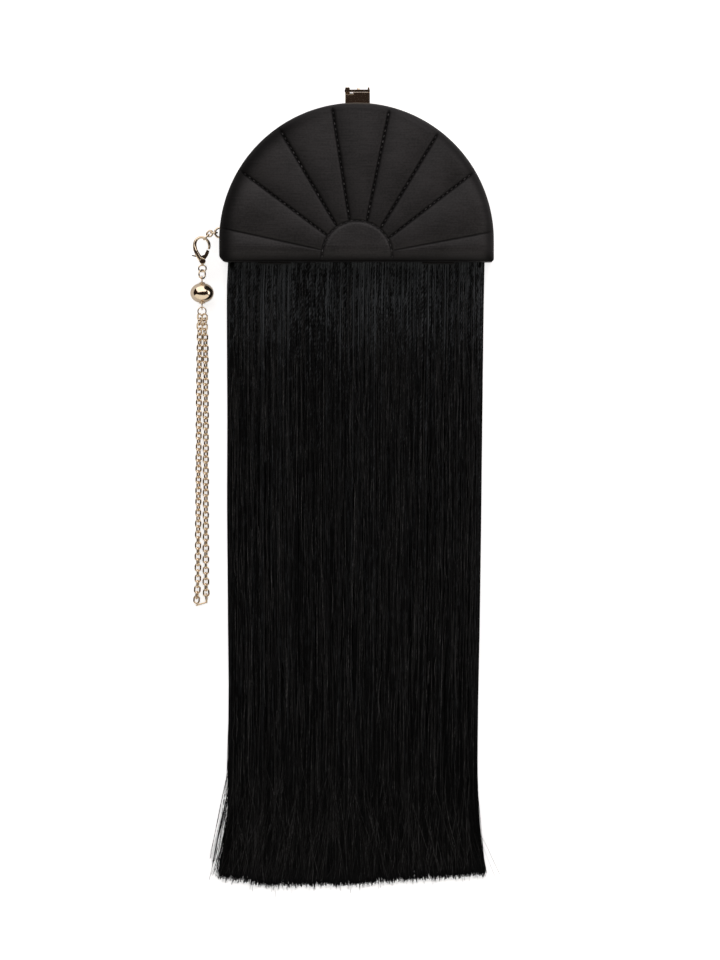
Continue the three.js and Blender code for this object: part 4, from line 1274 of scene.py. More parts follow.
@dataclass
class Fringe(Part):
    """Long fringe sewn along the back half's bottom wall: heading tape, twisted cords and frayed ends."""

    seed: int = 11
    top: float = -15.95 * MM
    cord_radius: float = 0.53 * MM
    hair_radius: float = 0.17 * MM
    layers: int = 3
    cords_across: int = 165
    wisp_locks: int = 8
    # Length that the cords' waves are counted over, in millimetres
    fall: float = 450
    tape_low: Triple = (-93 * MM, -20 * MM, 5.2 * MM)
    tape_high: Triple = (91.8 * MM, -15.8 * MM, 15.6 * MM)
    # Frayed hairs: piece, number, lowest and highest depth in the fringe, and how far down they start
    frays: tuple[tuple[str, int, float, float, float], ...] = (
        ("fringe_fray", 4300, 0.6, 1.0, 0.6),
        ("fringe_fray_under", 2400, 0.0, 0.6, 0.75),
    )
    # Loose threads: piece, number, band where they start, shortest and longest, and their slant
    loose_threads: tuple[tuple[str, int, Pair, Pair, float], ...] = (
        ("fringe_strays", 1350, (-380 * MM, -16 * MM), (14 * MM, 75 * MM), 0.012),
        ("fringe_strays_low", 460, (-455 * MM, -380 * MM), (18 * MM, 80 * MM), 0.15),
    )
    # Hairs that stand off a side: piece, number, side and reach
    side_hairs: tuple[tuple[str, int, int, float], ...] = (
        ("fringe_wisps_left", 40, -1, 9.2 * MM),
        ("fringe_wisps_right", 22, 1, 1.6 * MM),
    )
    # Sections down the fringe: place along Y, left and right edge, underside and top, in millimetres
    sections: tuple[tuple[float, float, float, float, float], ...] = (
        (-15.9, -94, 93.4, 4.6, 19.2),
        (-24, -94.4, 93.3, 3.6, 19.3),
        (-38, -95, 93, 0, 17.6),
        (-120, -94.6, 92, 0, 12.8),
        (-200, -94.8, 91.2, 0, 11.8),
        (-260, -94.3, 90.4, 0, 11),
        (-330, -93.8, 89.2, 0, 10.2),
        (-385, -94.3, 88.4, 0, 9.6),
        (-422, -94.8, 88.8, 0, 8.3),
        (-440, -96.4, 90, 0, 7),
        (-456, -99, 92, 0, 5.6),
        (-470, -101.6, 94, 0, 4.2),
    )
    # Cut end: share of the width from the left, and place along Y in millimetres
    cut_end: Pairs = (
        (0, -465),
        (0.18, -471.5),
        (0.48, -471),
        (0.73, -467),
        (1, -463.5),
    )

    def __post_init__(self) -> None:
        """Starts the seeded random draws."""
        self.random = np.random.default_rng(self.seed)

    def at(self, y: np.ndarray, column: int) -> np.ndarray:
        """Left edge, right edge, underside or top of the fringe at a place along Y."""
        table = np.array(self.sections)[::-1] * MM
        return np.interp(y, table[:, 0], table[:, column])

    def cut(self, share: np.ndarray) -> np.ndarray:
        """Place along Y where the fringe is cut."""
        table = np.array(self.cut_end)
        return np.interp(share, table[:, 0], table[:, 1]) * MM

    def wander(self, down: np.ndarray, size: float, pitches: Sequence[float]) -> np.ndarray:
        """Drift of each strand from its straight line, different for each.

        Args:
            down: 0 at the heading and 1 at the cut end, for each point of each strand.
            size: Size of the drift.
            pitches: Lengths of its waves, in millimetres.

        Returns:
            The drift at each point, none at the heading.
        """
        drift = np.zeros_like(down)
        for pitch in pitches:
            phase = self.random.uniform(0, 2 * np.pi, (len(down), 1))
            weight = self.random.normal(0, 1, (len(down), 1))
            drift += weight * (np.sin(2 * np.pi * down * self.fall / pitch + phase) - np.sin(phase))
        return size * drift

    def locks(self, x: np.ndarray, down: np.ndarray) -> tuple[np.ndarray, np.ndarray]:
        """Locks that the cords gather into.

        Args:
            x: Place across the fringe.
            down: 0 at the heading and 1 at the cut end.

        Returns:
            How far each point moves sideways, and how high it stands in its lock, from 0 to 1.
        """
        spans = np.random.default_rng(self.seed + 1).uniform(4.0, 13, 40) * MM
        edges = np.concatenate([[-0.125], -0.125 + np.cumsum(spans)])
        index = np.clip(np.searchsorted(edges, x) - 1, 0, len(edges) - 2)
        middle = (edges[index] + edges[index + 1]) / 2
        half = (edges[index + 1] - edges[index]) / 2
        off = (x - middle) / half
        leans = np.random.default_rng(self.seed + 2).normal(0, 1, len(edges))
        fan = unit((down - 0.72) / 0.28)
        pull = 0.16 * unit(down * 1.5)
        lean = 1.1 * MM * leans[index] * fan**1.6
        return lean - off * half * pull, 1 - unit(np.abs(off)) ** 2

    def drawn(
        self, share: np.ndarray, depth: np.ndarray, steps: int, end: np.ndarray, loose: float = 1
    ) -> np.ndarray:
        """Draws the middle lines of cords from the heading to their ends.

        Args:
            share: Place of each cord across the fringe, from 0 at the left to 1.
            depth: 0 for the underside and 1 for the top surface.
            steps: Points in each line.
            end: Place along Y where each cord ends.
            loose: How freely the cords wander.

        Returns:
            Points, a row for each cord.
        """
        down = np.linspace(0, 1, steps)[None, :] * np.ones((len(share), 1))
        y = self.top + (end[:, None] - self.top) * down
        left, right, low, high = (self.at(y, column) for column in (1, 2, 3, 4))
        rest = left + (right - left) * share[:, None]
        drift = self.wander(down, 0.26 * MM, (90, 150, 260)) * (0.2 + 1.2 * down)
        drift += self.wander(down, 0.07 * MM, (19, 31, 43))
        shift, stand = self.locks(rest, down)
        inside = np.minimum(share, 1 - share)[:, None]
        x = rest + (drift * loose + shift) * unit(inside * 20 + 0.25)
        swell = np.sin(rest * 160 + y * 9) * 0.35 * MM
        crest = high - self.cord_radius - (1 - stand) * 1.5 * MM * unit(0.25 + down) + swell
        round_edge = 1 - unit(1 - 14 * inside) ** 2 * 0.55
        floor = low + 1.25 * self.cord_radius
        z = floor + (crest - floor) * depth[:, None] * round_edge
        lift = self.wander(down, 0.13 * MM, (21, 35, 45, 90)) * loose
        z = np.maximum(z + lift * (depth[:, None] > 0.1), floor)
        return np.stack([x, y, z], axis=-1)

    def lay(
        self,
        name: str,
        lines: np.ndarray,
        radii: np.ndarray,
        twist: np.ndarray,
        finish: Material,
        sides: int = 3,
        *nodes: str,
    ) -> None:
        """Adds one piece of strands, each with its own tint.

        Args:
            name: The piece's name.
            lines: Points of their middle lines, a row for each strand.
            radii: Radius at each point.
            twist: How tightly the yarn is twisted at each point, from 0 to 1.
            finish: Its material.
            sides: Sides of each strand.
            nodes: CAD nodes that the piece stands for.
        """
        strands = Strands(lines, radii, self.random.uniform(0, 1, len(lines)), twist)
        fit(strands.mesh(name, sides), Body.BACK, finish, Slot.YARN, *nodes)

    def cords(self, name: str, share: np.ndarray, depth: np.ndarray, steps: int, sides: int) -> None:
        """Adds one piece of twisted cords."""
        count = len(share)
        end = self.cut(share) + self.random.uniform(4, 22, count) * MM
        lines = self.drawn(share, depth, steps, end)
        down = np.linspace(0, 1, steps)[None, :]
        loose = unit((down - 0.62) / 0.3)
        radius = self.cord_radius * self.random.uniform(0.72, 1.2, (count, 1))
        radii = radius * (1 - 0.55 * loose) * np.where(down > 0.99, 0.3, 1)
        twist = unit(1.25 - down * self.random.uniform(0.9, 3.4, (count, 1)))
        self.lay(name, lines, radii, twist, self.finishes.cord, sides, "fringe")

    def top_cords(self) -> None:
        """Cords of the top surface, in layers that lie into each other."""
        for layer in range(self.layers):
            spots = (np.arange(self.cords_across) + 0.5 * (layer % 2) + 0.25) / self.cords_across
            share = spots + self.random.normal(0, 0.25 / self.cords_across, self.cords_across)
            depth = 1 - 0.075 * layer + self.random.normal(0, 0.02, self.cords_across)
            self.cords(f"fringe_cords_{layer + 1}", np.clip(share, 0.003, 0.997), depth, 56 - 8 * layer, 5)

    def under_cords(self) -> None:
        """Cords of the sides and the underside."""
        side = np.linspace(0.06, 0.94, 13)
        flat = (np.arange(104) + 0.5) / 104
        edges = [0 * side + place for place in (0.002, 0.009, 0.998, 0.991)]
        share = np.concatenate([*edges, flat, flat])
        share = unit(share + self.random.normal(0, 0.001, len(share)))
        depth = np.concatenate([side, side + 0.03, side, side + 0.03, 0 * flat, 0 * flat + 0.12])
        self.cords("fringe_cords_under", share, depth, 28, 4)

    def core(self) -> None:
        """Dense inside of the fringe, between its surface cords."""
        columns = 90
        share = np.linspace(0.012, 0.988, columns)
        end = self.cut(share) + 4.5 * MM
        upper = self.drawn(share, np.full(columns, 0.74), 60, end, 0)
        lower = self.drawn(share[::-1], np.full(columns, 0.14), 60, end[::-1], 0)
        loop = np.concatenate([upper, lower]).transpose(1, 0, 2)
        rows, around = loop.shape[:2]
        numbers = np.arange(rows * around).reshape(rows, around)
        after = np.roll(numbers, -1, axis=1)
        walls = np.stack([numbers[:-1], numbers[1:], after[1:], after[:-1]], axis=-1).reshape(-1, 4)
        piece = array_piece("fringe_core", loop.reshape(-1, 3), walls, numbers[:1, ::-1], numbers[-1:])
        with Shaping(piece) as shaping:
            shaping.face_outwards()
        lay_cloth(piece)
        fit(piece, Body.BACK, self.finishes.tape, Slot.YARN)

    def fray(self, name: str, count: int, lowest: float, highest: float, early: float) -> None:
        """Adds fine hairs that come out of the cords and reach the cut end.

        Args:
            name: The piece's name.
            count: Number of hairs.
            lowest: Lowest depth that they come from, 0 at the underside.
            highest: Highest depth, 1 at the top surface.
            early: How far down the fringe the first ones come out.
        """
        steps, drawn_steps = 8, 40
        share = self.random.uniform(0, 1, count)
        depth = self.random.uniform(lowest, highest, count)
        end = self.cut(share) + self.random.normal(0.6 * MM, 1.5 * MM, count)
        end = end - self.random.exponential(0.9 * MM, count)
        lines = self.drawn(share, depth, drawn_steps, end)
        start = self.random.uniform(early, 0.86, count)
        down = start[:, None] + (1 - start[:, None]) * np.linspace(0, 1, steps)
        place = down * (drawn_steps - 1)
        index = np.clip(place.astype(int), 0, drawn_steps - 2)
        part = (place - index)[..., None]
        rows = np.arange(count)[:, None]
        path = lines[rows, index] * (1 - part) + lines[rows, index + 1] * part
        free = np.linspace(0, 1, steps)[None, :]
        wild = np.where(self.random.uniform(0, 1, (count, 1)) < 0.15, 2.4, 1)
        lean = self.random.normal(0, 3.6 * MM, (count, 1)) * wild
        edge = np.minimum(share, 1 - share)[:, None]
        lean *= np.clip(edge * 25 + 0.1, 0.1, 1)
        bend = self.random.normal(0, 1.0 * MM, (count, 1))
        bend = bend * np.sin(np.pi * free * self.random.uniform(0.8, 2.2, (count, 1)))
        path[..., 0] += lean * free**1.3 + bend * unit(edge * 25)
        path[..., 2] += self.random.normal(0.1 * MM, 0.45 * MM, (count, 1)) * free
        path[..., 2] = np.maximum(path[..., 2], self.hair_radius * 1.2)
        radii = self.hair_radius * self.random.uniform(0.8, 1.6, (count, 1)) * (1 - 0.2 * free**3)
        self.lay(name, path, radii, 0 * radii, self.finishes.fray)

    def strays(self, name: str, count: int, band: Pair, length: Pair, slant: float) -> None:
        """Adds loose single threads that cross the surface at a slight slant.

        Args:
            name: The piece's name.
            count: Number of threads.
            band: Lowest and highest place along Y where they start.
            length: Shortest and longest thread.
            slant: Usual slant to the side, as a share of the length.
        """
        steps = 8
        start = self.random.uniform(*band, (count, 1))
        reach = self.random.uniform(*length, (count, 1))
        free = np.linspace(0, 1, steps)[None, :]
        share = self.random.uniform(0.02, 0.98, (count, 1))
        y = start - reach * free
        tip = self.cut(share) + self.random.uniform(-0.5, 4, (count, 1)) * MM
        y = np.where(y[:, -1:] < tip, start + (tip - start) * free, y)
        left, right, high = self.at(y, 1), self.at(y, 2), self.at(y, 4)
        bow = self.random.normal(0, 0.8 * MM, (count, 1)) * np.sin(np.pi * free)
        x = left + (right - left) * share + self.random.normal(0, slant, (count, 1)) * (start - y) + bow
        x = np.clip(x, left + 0.5 * MM, right - 0.5 * MM)
        z = high + self.random.uniform(-0.4, 0.5, (count, 1)) * MM + 0.3 * MM * np.sin(np.pi * free)
        radii = self.hair_radius * self.random.uniform(0.8, 1.4, (count, 1))
        radii = radii * (1 - 0.6 * np.abs(2 * free - 1) ** 3)
        twist = (self.random.uniform(0, 1, (count, 1)) < 0.4) * np.ones_like(radii)
        self.lay(name, np.stack([x, y, z], axis=-1), radii, twist, self.finishes.stray)

    def wisps(self, name: str, count: int, side: int, reach: float) -> None:
        """Adds single hairs that stand off one side near the cut end.

        Args:
            name: The piece's name.
            count: Number of hairs.
            side: -1 for the left and 1 for the right.
            reach: How far the outermost ones stand off at their tips.
        """
        steps = 14
        free = np.linspace(0, 1, steps)[None, :]
        draw = self.random.uniform(0, 1, (count, 1))
        lock = np.floor(self.wisp_locks * draw**1.4) / (self.wisp_locks - 1)
        out = (0.06 + 0.94 * lock + self.random.normal(0, 0.03, (count, 1))) * reach
        start = (-436 + 44 * lock + self.random.normal(0, 4, (count, 1))) * MM
        foot = self.at(start, 1 if side < 0 else 2) - side * 0.8 * MM
        tip = self.cut(np.array(0.5 + side / 2)) + self.random.uniform(-1.5, 4, (count, 1)) * MM + out * 1.1
        y = start + (tip - start) * free
        flare = self.at(tip, 1 if side < 0 else 2) + side * out - foot
        sway = self.random.normal(0, 0.14 * MM, (count, 1))
        wave = sway * np.sin(free * self.random.uniform(4, 14, (count, 1)))
        x = foot + flare * free ** (1.1 - 0.2 * lock) + wave * free
        z = self.at(y, 4) * self.random.uniform(0.15, 0.8, (count, 1)) + 0.3 * MM
        radii = self.hair_radius * self.random.uniform(0.8, 1.3, (count, 1)) * (1 - 0.3 * free)
        self.lay(name, np.stack([x, y, z], axis=-1), radii, 0 * radii, self.finishes.fray)

    def heading(self) -> None:
        """Woven tape that holds the cords, sewn along the bottom wall."""
        tape = soften(block("fringe_heading", self.tape_low, self.tape_high), 1.6 * MM, 4)
        lay_cloth(tape)
        fit(tape, Body.BACK, self.finishes.tape, Slot.YARN)

    def build(self) -> None:
        """Builds the heading, the cords and the frayed ends."""
        self.heading()
        self.core()
        self.top_cords()
        self.under_cords()
        for row in self.frays:
            self.fray(*row)
        for row in self.loose_threads:
            self.strays(*row)
        for row in self.side_hairs:
            self.wisps(*row)


# Catch


@dataclass
class Catch(Part):
    """Flip catch on top of the head: base with two lugs, front block, bar and pin."""

    left: float = -8 * MM
    right: float = 9.8 * MM
    back: float = 13.5 * MM
    front: float = 26 * MM
    seam: float = 20 * MM
    gap: float = 0.3 * MM
    top: float = 108.3 * MM
    inside: float = 95 * MM
    head_radius: float = 100 * MM
    slot_right: float = -2.5 * MM
    slot_floor: float = 106.6 * MM
    lug_top: float = 112.4 * MM
    lug_depth: float = 2.7 * MM
    left_lug: Pair = (-8.3 * MM, -4.9 * MM)
    right_lug: Pair = (8.2 * MM, 9.5 * MM)
    pin_y: float = 109.7 * MM
    pin_radius: float = 0.5 * MM
    barrel_radius: float = 1.15 * MM
    bar_low: float = 108.5 * MM
    bar_high: float = 110.3 * MM
    bar_wide_from: float = 18.8 * MM
    bar_left: float = -8.7 * MM
    nub_x: float = 1.4 * MM
    nub_top: float = 111.5 * MM
    nub_radius: float = 1.0 * MM

    def pin_z(self) -> float:
        """Height of the bar's pin."""
        return self.back + self.lug_depth / 2

    def rim(self) -> Object:
        """Round of the head's rim, which the catch sits on."""
        reach = self.head_radius + self.gap / 3
        return rod("rim", Vector((0, 0, -1 * MM)), Vector((0, 0, 40 * MM)), reach, 288)

    def pin_line(self, left: float, right: float, radius: float, name: str = "pin") -> Object:
        """Round bar along the pin's axis."""
        start, end = (Vector((x, self.pin_y, self.pin_z())) for x in (left, right))
        return rod(name, start, end, radius)

    def base(self) -> Object:
        """Base on the back rim, with its two lugs."""
        high = (self.right, self.top - 0.4 * MM, self.seam - self.gap / 2)
        base = block("catch_base_gold", (self.left, self.inside, self.back), high)
        for left, right in (self.left_lug, self.right_lug):
            low = (left, self.inside, self.back)
            combine(base, block("lug", low, (right, self.lug_top, self.back + self.lug_depth)), "UNION")
        combine(base, self.rim(), "DIFFERENCE")
        hole = self.pin_line(self.bar_left - 2 * MM, self.right + 2 * MM, self.pin_radius + self.gap / 2)
        combine(base, hole, "DIFFERENCE")
        return soften(base, 0.22 * MM, 3)

    def block(self) -> Object:
        """Front block, with the slot that shows at its left."""
        low = (self.left, self.inside, self.seam + self.gap / 2)
        piece = block("catch_block_gold", low, (self.right, self.top, self.front))
        slot = block(
            "slot",
            (self.left - 1 * MM, self.slot_floor, self.seam),
            (self.slot_right, self.top + 1 * MM, self.front + 1 * MM),
        )
        combine(piece, slot, "DIFFERENCE")
        combine(piece, self.rim(), "DIFFERENCE")
        return soften(piece, 0.12 * MM, 2)

    def bar(self) -> Object:
        """Flip bar, rolled round its pin at the back and wide over the front block."""
        narrow_left = self.left_lug[1] + self.gap
        narrow_right = self.right_lug[0] - self.gap
        high = (narrow_right, self.bar_high, self.front)
        bar = block("catch_bar_gold", (narrow_left, self.bar_low, self.pin_z()), high)
        high = (self.right, self.bar_high, self.front)
        wide = block("wide", (self.bar_left, self.bar_low, self.bar_wide_from), high)
        combine(bar, wide, "UNION")
        combine(bar, self.pin_line(narrow_left, narrow_right, self.barrel_radius), "UNION")
        nub = rod(
            "nub",
            Vector((self.nub_x, self.bar_low + 0.5 * MM, self.front - 2 * MM)),
            Vector((self.nub_x, self.nub_top, self.front - 2 * MM)),
            self.nub_radius,
        )
        combine(bar, nub, "UNION")
        hole = self.pin_line(narrow_left - 1 * MM, narrow_right + 1 * MM, self.pin_radius + self.gap / 2)
        combine(bar, hole, "DIFFERENCE")
        return soften(bar, 0.16 * MM, 2)

    def build(self) -> None:
        """Builds the four pieces of the catch."""
        self.gild(self.base(), "catch_base")
        self.gild(self.block(), "catch_block", Body.FRONT)
        self.gild(self.bar(), "catch_bar", Body.BAR)
        left, right = self.left_lug[0] - 0.1 * MM, self.right_lug[1] + 0.1 * MM
        pin = self.pin_line(left, right, self.pin_radius, "catch_pin_gold")
        self.gild(soften(pin, 0.15 * MM, 3), "catch_pin")


# Wrist chain


@dataclass
class Eye(Part):
    """Wire loop in the left wall that the wrist chain hangs from."""

    height: float = 8.75 * MM
    y: float = 6 * MM
    wire: float = 1.6 * MM
    radius: float = 3.45 * MM
    reach: float = 103.9 * MM
    seat: float = 98.6 * MM
    steps: int = 24

    def build(self) -> None:
        """Builds the loop with its two legs."""
        middle = Vector((-self.reach + self.radius, self.y, self.height))
        half = self.wire / 2
        leg = Vector((-self.seat, self.y - self.radius, self.height))
        sections = [section(leg, Vector((-1, 0, 0)), half, half)]
        for step in range(self.steps + 1):
            angle = math.pi * (1.5 - step / self.steps)
            out = Vector((math.cos(angle), math.sin(angle), 0))
            way = Vector((math.sin(angle), -math.cos(angle), 0))
            sections.append(section(middle + self.radius * out, way, half, half))
        leg = Vector((-self.seat, self.y + self.radius, self.height))
        sections.append(section(leg, Vector((1, 0, 0)), half, half))
        self.gild(pulled("chain_eye_gold", sections), "chain_eye")


@dataclass
class SnapHook(Part):
    """Lobster hook: rounded arm, sprung gate on a rivet, and a swivel eye."""

    place: Vector = field(default_factory=lambda: Vector((-112.6 * MM, -15.3 * MM, 8.75 * MM)))
    thick: float = 3.2 * MM
    tip_thick: float = 2.2 * MM
    taper: Pair = (8 * MM, 13 * MM)
    boss: Triple = (-0.4 * MM, 0.4 * MM, 2.3 * MM)
    pivot: Pair = (-0.9 * MM, 2.6 * MM)
    rivet_radius: float = 0.6 * MM
    slot: float = 1.6 * MM
    slot_radius: float = 8 * MM
    slot_floor: float = 0.7 * MM
    gate_thick: float = 1 * MM
    gate_arm_thick: float = 2 * MM
    swivel: Pair = (-0.5 * MM, -4.95 * MM)
    swivel_size: Pair = (6.6 * MM, 5.8 * MM)
    wire: float = 1.1 * MM
    # Middle line of the arm and its half width, in millimetres
    arm: Triples = (
        (-0.2, 0, 1.9),
        (-2.8, 3.3, 2.1),
        (-5, 7.3, 1.8),
        (-6.2, 11.7, 1.4),
        (-5.2, 15.75, 1.2),
        (-2, 17.9, 1),
        (1.5, 17.1, 0.95),
        (3.9, 14.5, 1),
        (4.6, 11.6, 0.95),
        (4.2, 9.2, 0.8),
    )
    # Outline of the gate's lever and of its wider arm, in millimetres
    lever: Pairs = (
        (-8.3, 4.2),
        (-8.3, 5),
        (-4.6, 4.5),
        (-1.2, 4.4),
        (1, 5.2),
        (2.7, 8.9),
        (4.5, 7.9),
        (3.4, 4.2),
        (1.7, 1.9),
        (-0.6, 1.2),
        (-2.4, 1.9),
        (-5, 3.4),
    )
    gate_arm: Pairs = ((2.4, 7), (2.8, 8.9), (4.6, 7.8), (3.9, 5.2))

    def arm_sections(self) -> list[Matrix]:
        """Sections along the arm, on a smooth line through its points."""
        rows = np.array(self.arm) * MM
        padded = np.concatenate([[2 * rows[0] - rows[1]], rows, [2 * rows[-1] - rows[-2]]])
        line = []
        for index in range(len(rows) - 1):
            a, b, c, d = padded[index : index + 4]
            for t in np.linspace(0, 1, 6, endpoint=index == len(rows) - 2):
                bend = 2 * a - 5 * b + 4 * c - d
                sweep = 3 * b - a - 3 * c + d
                line.append(0.5 * (2 * b + (c - a) * t + bend * t**2 + sweep * t**3))
        line = np.array(line)
        ways = np.gradient(line[:, :2], axis=0)
        thick = np.interp(line[:, 1], self.taper, (self.thick, self.tip_thick)) / 2
        return [
            section(self.place + Vector((x, y, 0)), Vector((*way, 0)), half, height)
            for (x, y, half), way, height in zip(line, ways, thick)
        ]

    def upright(self, spot: Pair, radius: float, half: float, name: str = "tool") -> Object:
        """Round bar along Z at a point of the hook."""
        middle = self.place + Vector((*spot, 0))
        return rod(name, middle - Vector((0, 0, half)), middle + Vector((0, 0, half)), radius)

    def outline(self, rows: Sequence[Pair]) -> list[Pair]:
        """Outline in the frame from one in the hook's own millimetres."""
        return [(self.place.x + x * MM, self.place.y + y * MM) for x, y in rows]

    def body(self) -> Object:
        """Arm and boss, slotted for the gate."""
        body = pulled("hook_body_gold", self.arm_sections(), 20)
        boss = soften(self.upright(self.boss[:2], self.boss[2], self.thick / 2), 0.5 * MM, 4)
        combine(body, boss, "UNION")
        slot = self.upright(self.pivot, self.slot_radius, self.slot / 2, "slot")
        low = (self.place.x - 20 * MM, self.place.y - 20 * MM, 0)
        high = (self.place.x + 20 * MM, self.place.y + self.slot_floor, 20 * MM)
        combine(slot, block("floor", low, high), "DIFFERENCE")
        combine(body, slot, "DIFFERENCE")
        tip = self.outline([(2.2, 9.9), (6, 7.6), (6, 5), (2.2, 5)])
        combine(body, plate("tip", tip, self.place.z - 3 * MM, self.place.z + 3 * MM), "DIFFERENCE")
        smooth(body)
        return body

    def gate(self) -> Object:
        """Sprung gate, with its thumb lever at the left."""
        half = self.gate_thick / 2
        gate = plate("hook_gate_gold", self.outline(self.lever), self.place.z - half, self.place.z + half)
        wide = self.gate_arm_thick / 2
        arm = plate("arm", self.outline(self.gate_arm), self.place.z - wide, self.place.z + wide)
        combine(gate, arm, "UNION")
        combine(gate, self.upright(self.pivot, self.rivet_radius + 0.15 * MM, 3 * MM), "DIFFERENCE")
        return soften(gate, 0.2 * MM, 3, 25)

    def swivel_eye(self) -> Object:
        """Oval eye on a short stem, under the boss."""
        x, y = self.swivel
        eye = ring("eye", *self.swivel_size, self.wire, Matrix.Translation(self.place + Vector((x, y, 0))))
        low = self.place + Vector((x, y + self.swivel_size[1] / 2 - self.wire / 2, 0))
        stem = rod("stem", low, self.place + Vector((x, -0.1 * MM, 0)), self.rivet_radius, 20)
        collar = soften(rod("collar", low, low + Vector((0, 0.7 * MM, 0)), 1.15 * MM, 24), 0.2 * MM)
        return joined("hook_swivel_gold", [eye, stem, collar])

    def build(self) -> None:
        """Builds the hook's four pieces."""
        self.gild(self.body(), "hook_body")
        self.gild(self.gate(), "hook_gate", Body.GATE)
        rivet = self.upright(self.pivot, self.rivet_radius, self.thick / 2 + 0.25 * MM, "hook_rivet_gold")
        self.gild(soften(rivet, 0.2 * MM, 3), "hook_rivet")
        self.gild(self.swivel_eye(), "hook_swivel")


@dataclass
class UpperLinks(Part):
    """Three links between the wall's loop and the hook, and the jump ring below the hook."""

    height: float = 8.75 * MM
    eye_reach: float = 103.9 * MM
    eye_y: float = 6 * MM
    length: float = 6.05 * MM
    hook_length: float = 6.6 * MM
    width: float = 5.05 * MM
    wire: float = 1.35 * MM
    link_step: float = 1.42 * MM
    eye_step: float = 1.55 * MM
    slant: float = math.pi / 4
    jump_ring: Pair = (-113.3 * MM, -24.5 * MM)
    jump_radius: float = 3.15 * MM
    jump_wire: float = 1.25 * MM

    def build(self) -> None:
        """Builds the links and the jump ring."""
        pitch = self.length - self.wire
        hook_pitch = self.hook_length - self.wire
        down = Vector((-math.cos(self.slant), -math.sin(self.slant), 0))
        start_a = Vector((-self.eye_reach + self.eye_step, self.eye_y, self.height))
        end_a = start_a + Vector((-pitch, 0, 0))
        start_b = end_a - down * self.link_step
        end_b = start_b + down * pitch
        start_c = end_b - down * self.link_step
        end_c = start_c + down * hook_pitch
        rows = (
            ("link_a", start_a, end_a, self.length, 0.0, math.pi / 2),
            ("link_b", start_b, end_b, self.length, self.slant, 0.0),
            ("link_c", start_c, end_c, self.hook_length, self.slant, math.pi / 2),
        )
        for node, start, end, length, turn, on_edge in rows:
            turned = Matrix.Rotation(turn, 4, "Z") @ Matrix.Rotation(on_edge, 4, "X")
            place = Matrix.Translation((start + end) / 2) @ turned
            link = ring(f"{node}_gold", length, self.width, self.wire, place)
            self.gild(link, node)
        place = Matrix.Translation((*self.jump_ring, self.height)) @ Matrix.Rotation(math.pi / 4, 4, "Y")
        size = 2 * self.jump_radius + self.jump_wire
        jump = ring("jump_ring_gold", size, size, self.jump_wire, place)
        self.gild(jump, "jump_ring")


@dataclass
class Bead(Part):
    """Large gold bead on a looped pin, with a small cap at each end."""

    place: Vector = field(default_factory=lambda: Vector((-113.4 * MM, -38.2 * MM, 8.75 * MM)))
    radius: float = 8.65 * MM
    half_height: float = 7.35 * MM
    pin_radius: float = 0.5 * MM
    wire: float = 0.9 * MM
    loop_radius: float = 1.7 * MM
    loop_reach: float = 10.7 * MM
    cap_radius: float = 2.3 * MM
    ring_y: float = -51.65 * MM
    ring_radius: float = 2.95 * MM

    def ball(self) -> Object:
        """Slightly flattened ball with a hole along Y."""
        deselect()
        bpy.ops.mesh.primitive_uv_sphere_add(
            segments=72, ring_count=48, radius=self.radius, rotation=(math.pi / 2, 0, 0)
        )
        ball = named("bead_gold")
        with Shaping(ball) as shaping:
            shaping.pick(Element.POINT, lambda point: True)
            squeeze = Matrix.Diagonal((1, self.half_height / self.radius, 1, 1))
            shaping.carry(Matrix.Translation(self.place) @ squeeze)
        reach = Vector((0, 2 * self.radius, 0))
        hole = rod("hole", self.place - reach, self.place + reach, self.pin_radius + 0.3 * MM)
        combine(ball, hole, "DIFFERENCE")
        smooth(ball, 50)
        return ball

    def cap(self, side: int) -> Object:
        """Shallow round cap on one end of the bead."""
        sink = self.half_height * (1 - math.sqrt(1 - (self.cap_radius / self.radius) ** 2))
        foot = self.place + Vector((0, side * (self.half_height - sink), 0))
        rows = ((-0.1, 0.98), (0.25, 1.0), (0.62, 0.86), (0.85, 0.62), (0.95, 0.36))
        sections = []
        for rise, share in rows:
            spot = foot + Vector((0, side * rise * MM, 0))
            radius = share * self.cap_radius
            sections.append(section(spot, Vector((0, side, 0)), radius, radius))
        name = "bead_cap_top" if side > 0 else "bead_cap_bottom"
        return pulled(f"{name}_gold", sections, 28)

    def pin(self) -> Object:
        """Pin through the bead, with a loop on edge at each end."""
        size = 2 * self.loop_radius + self.wire
        reach = Vector((0, self.loop_reach - self.loop_radius, 0))
        parts = [rod("shaft", self.place - reach, self.place + reach, self.pin_radius, 20)]
        for side in (-1, 1):
            spot = self.place + Vector((0, side * self.loop_reach, 0))
            turn = Matrix.Translation(spot) @ Matrix.Rotation(math.pi / 2, 4, "Y")
            parts.append(ring("loop", size, size, self.wire, turn, 28, 12))
        return joined("bead_pin_gold", parts)

    def build(self) -> None:
        """Builds the bead, its caps and pin, and the ring that holds the chain."""
        self.gild(self.ball(), "bead")
        self.gild(self.cap(1), "bead_cap_top")
        self.gild(self.cap(-1), "bead_cap_bottom")
        self.gild(self.pin(), "bead_pin")
        size = 2 * self.ring_radius + self.wire
        place = Matrix.Translation((self.place.x, self.ring_y, self.place.z))
        self.gild(ring("chain_ring_gold", size, size, self.wire, place), "chain_ring")


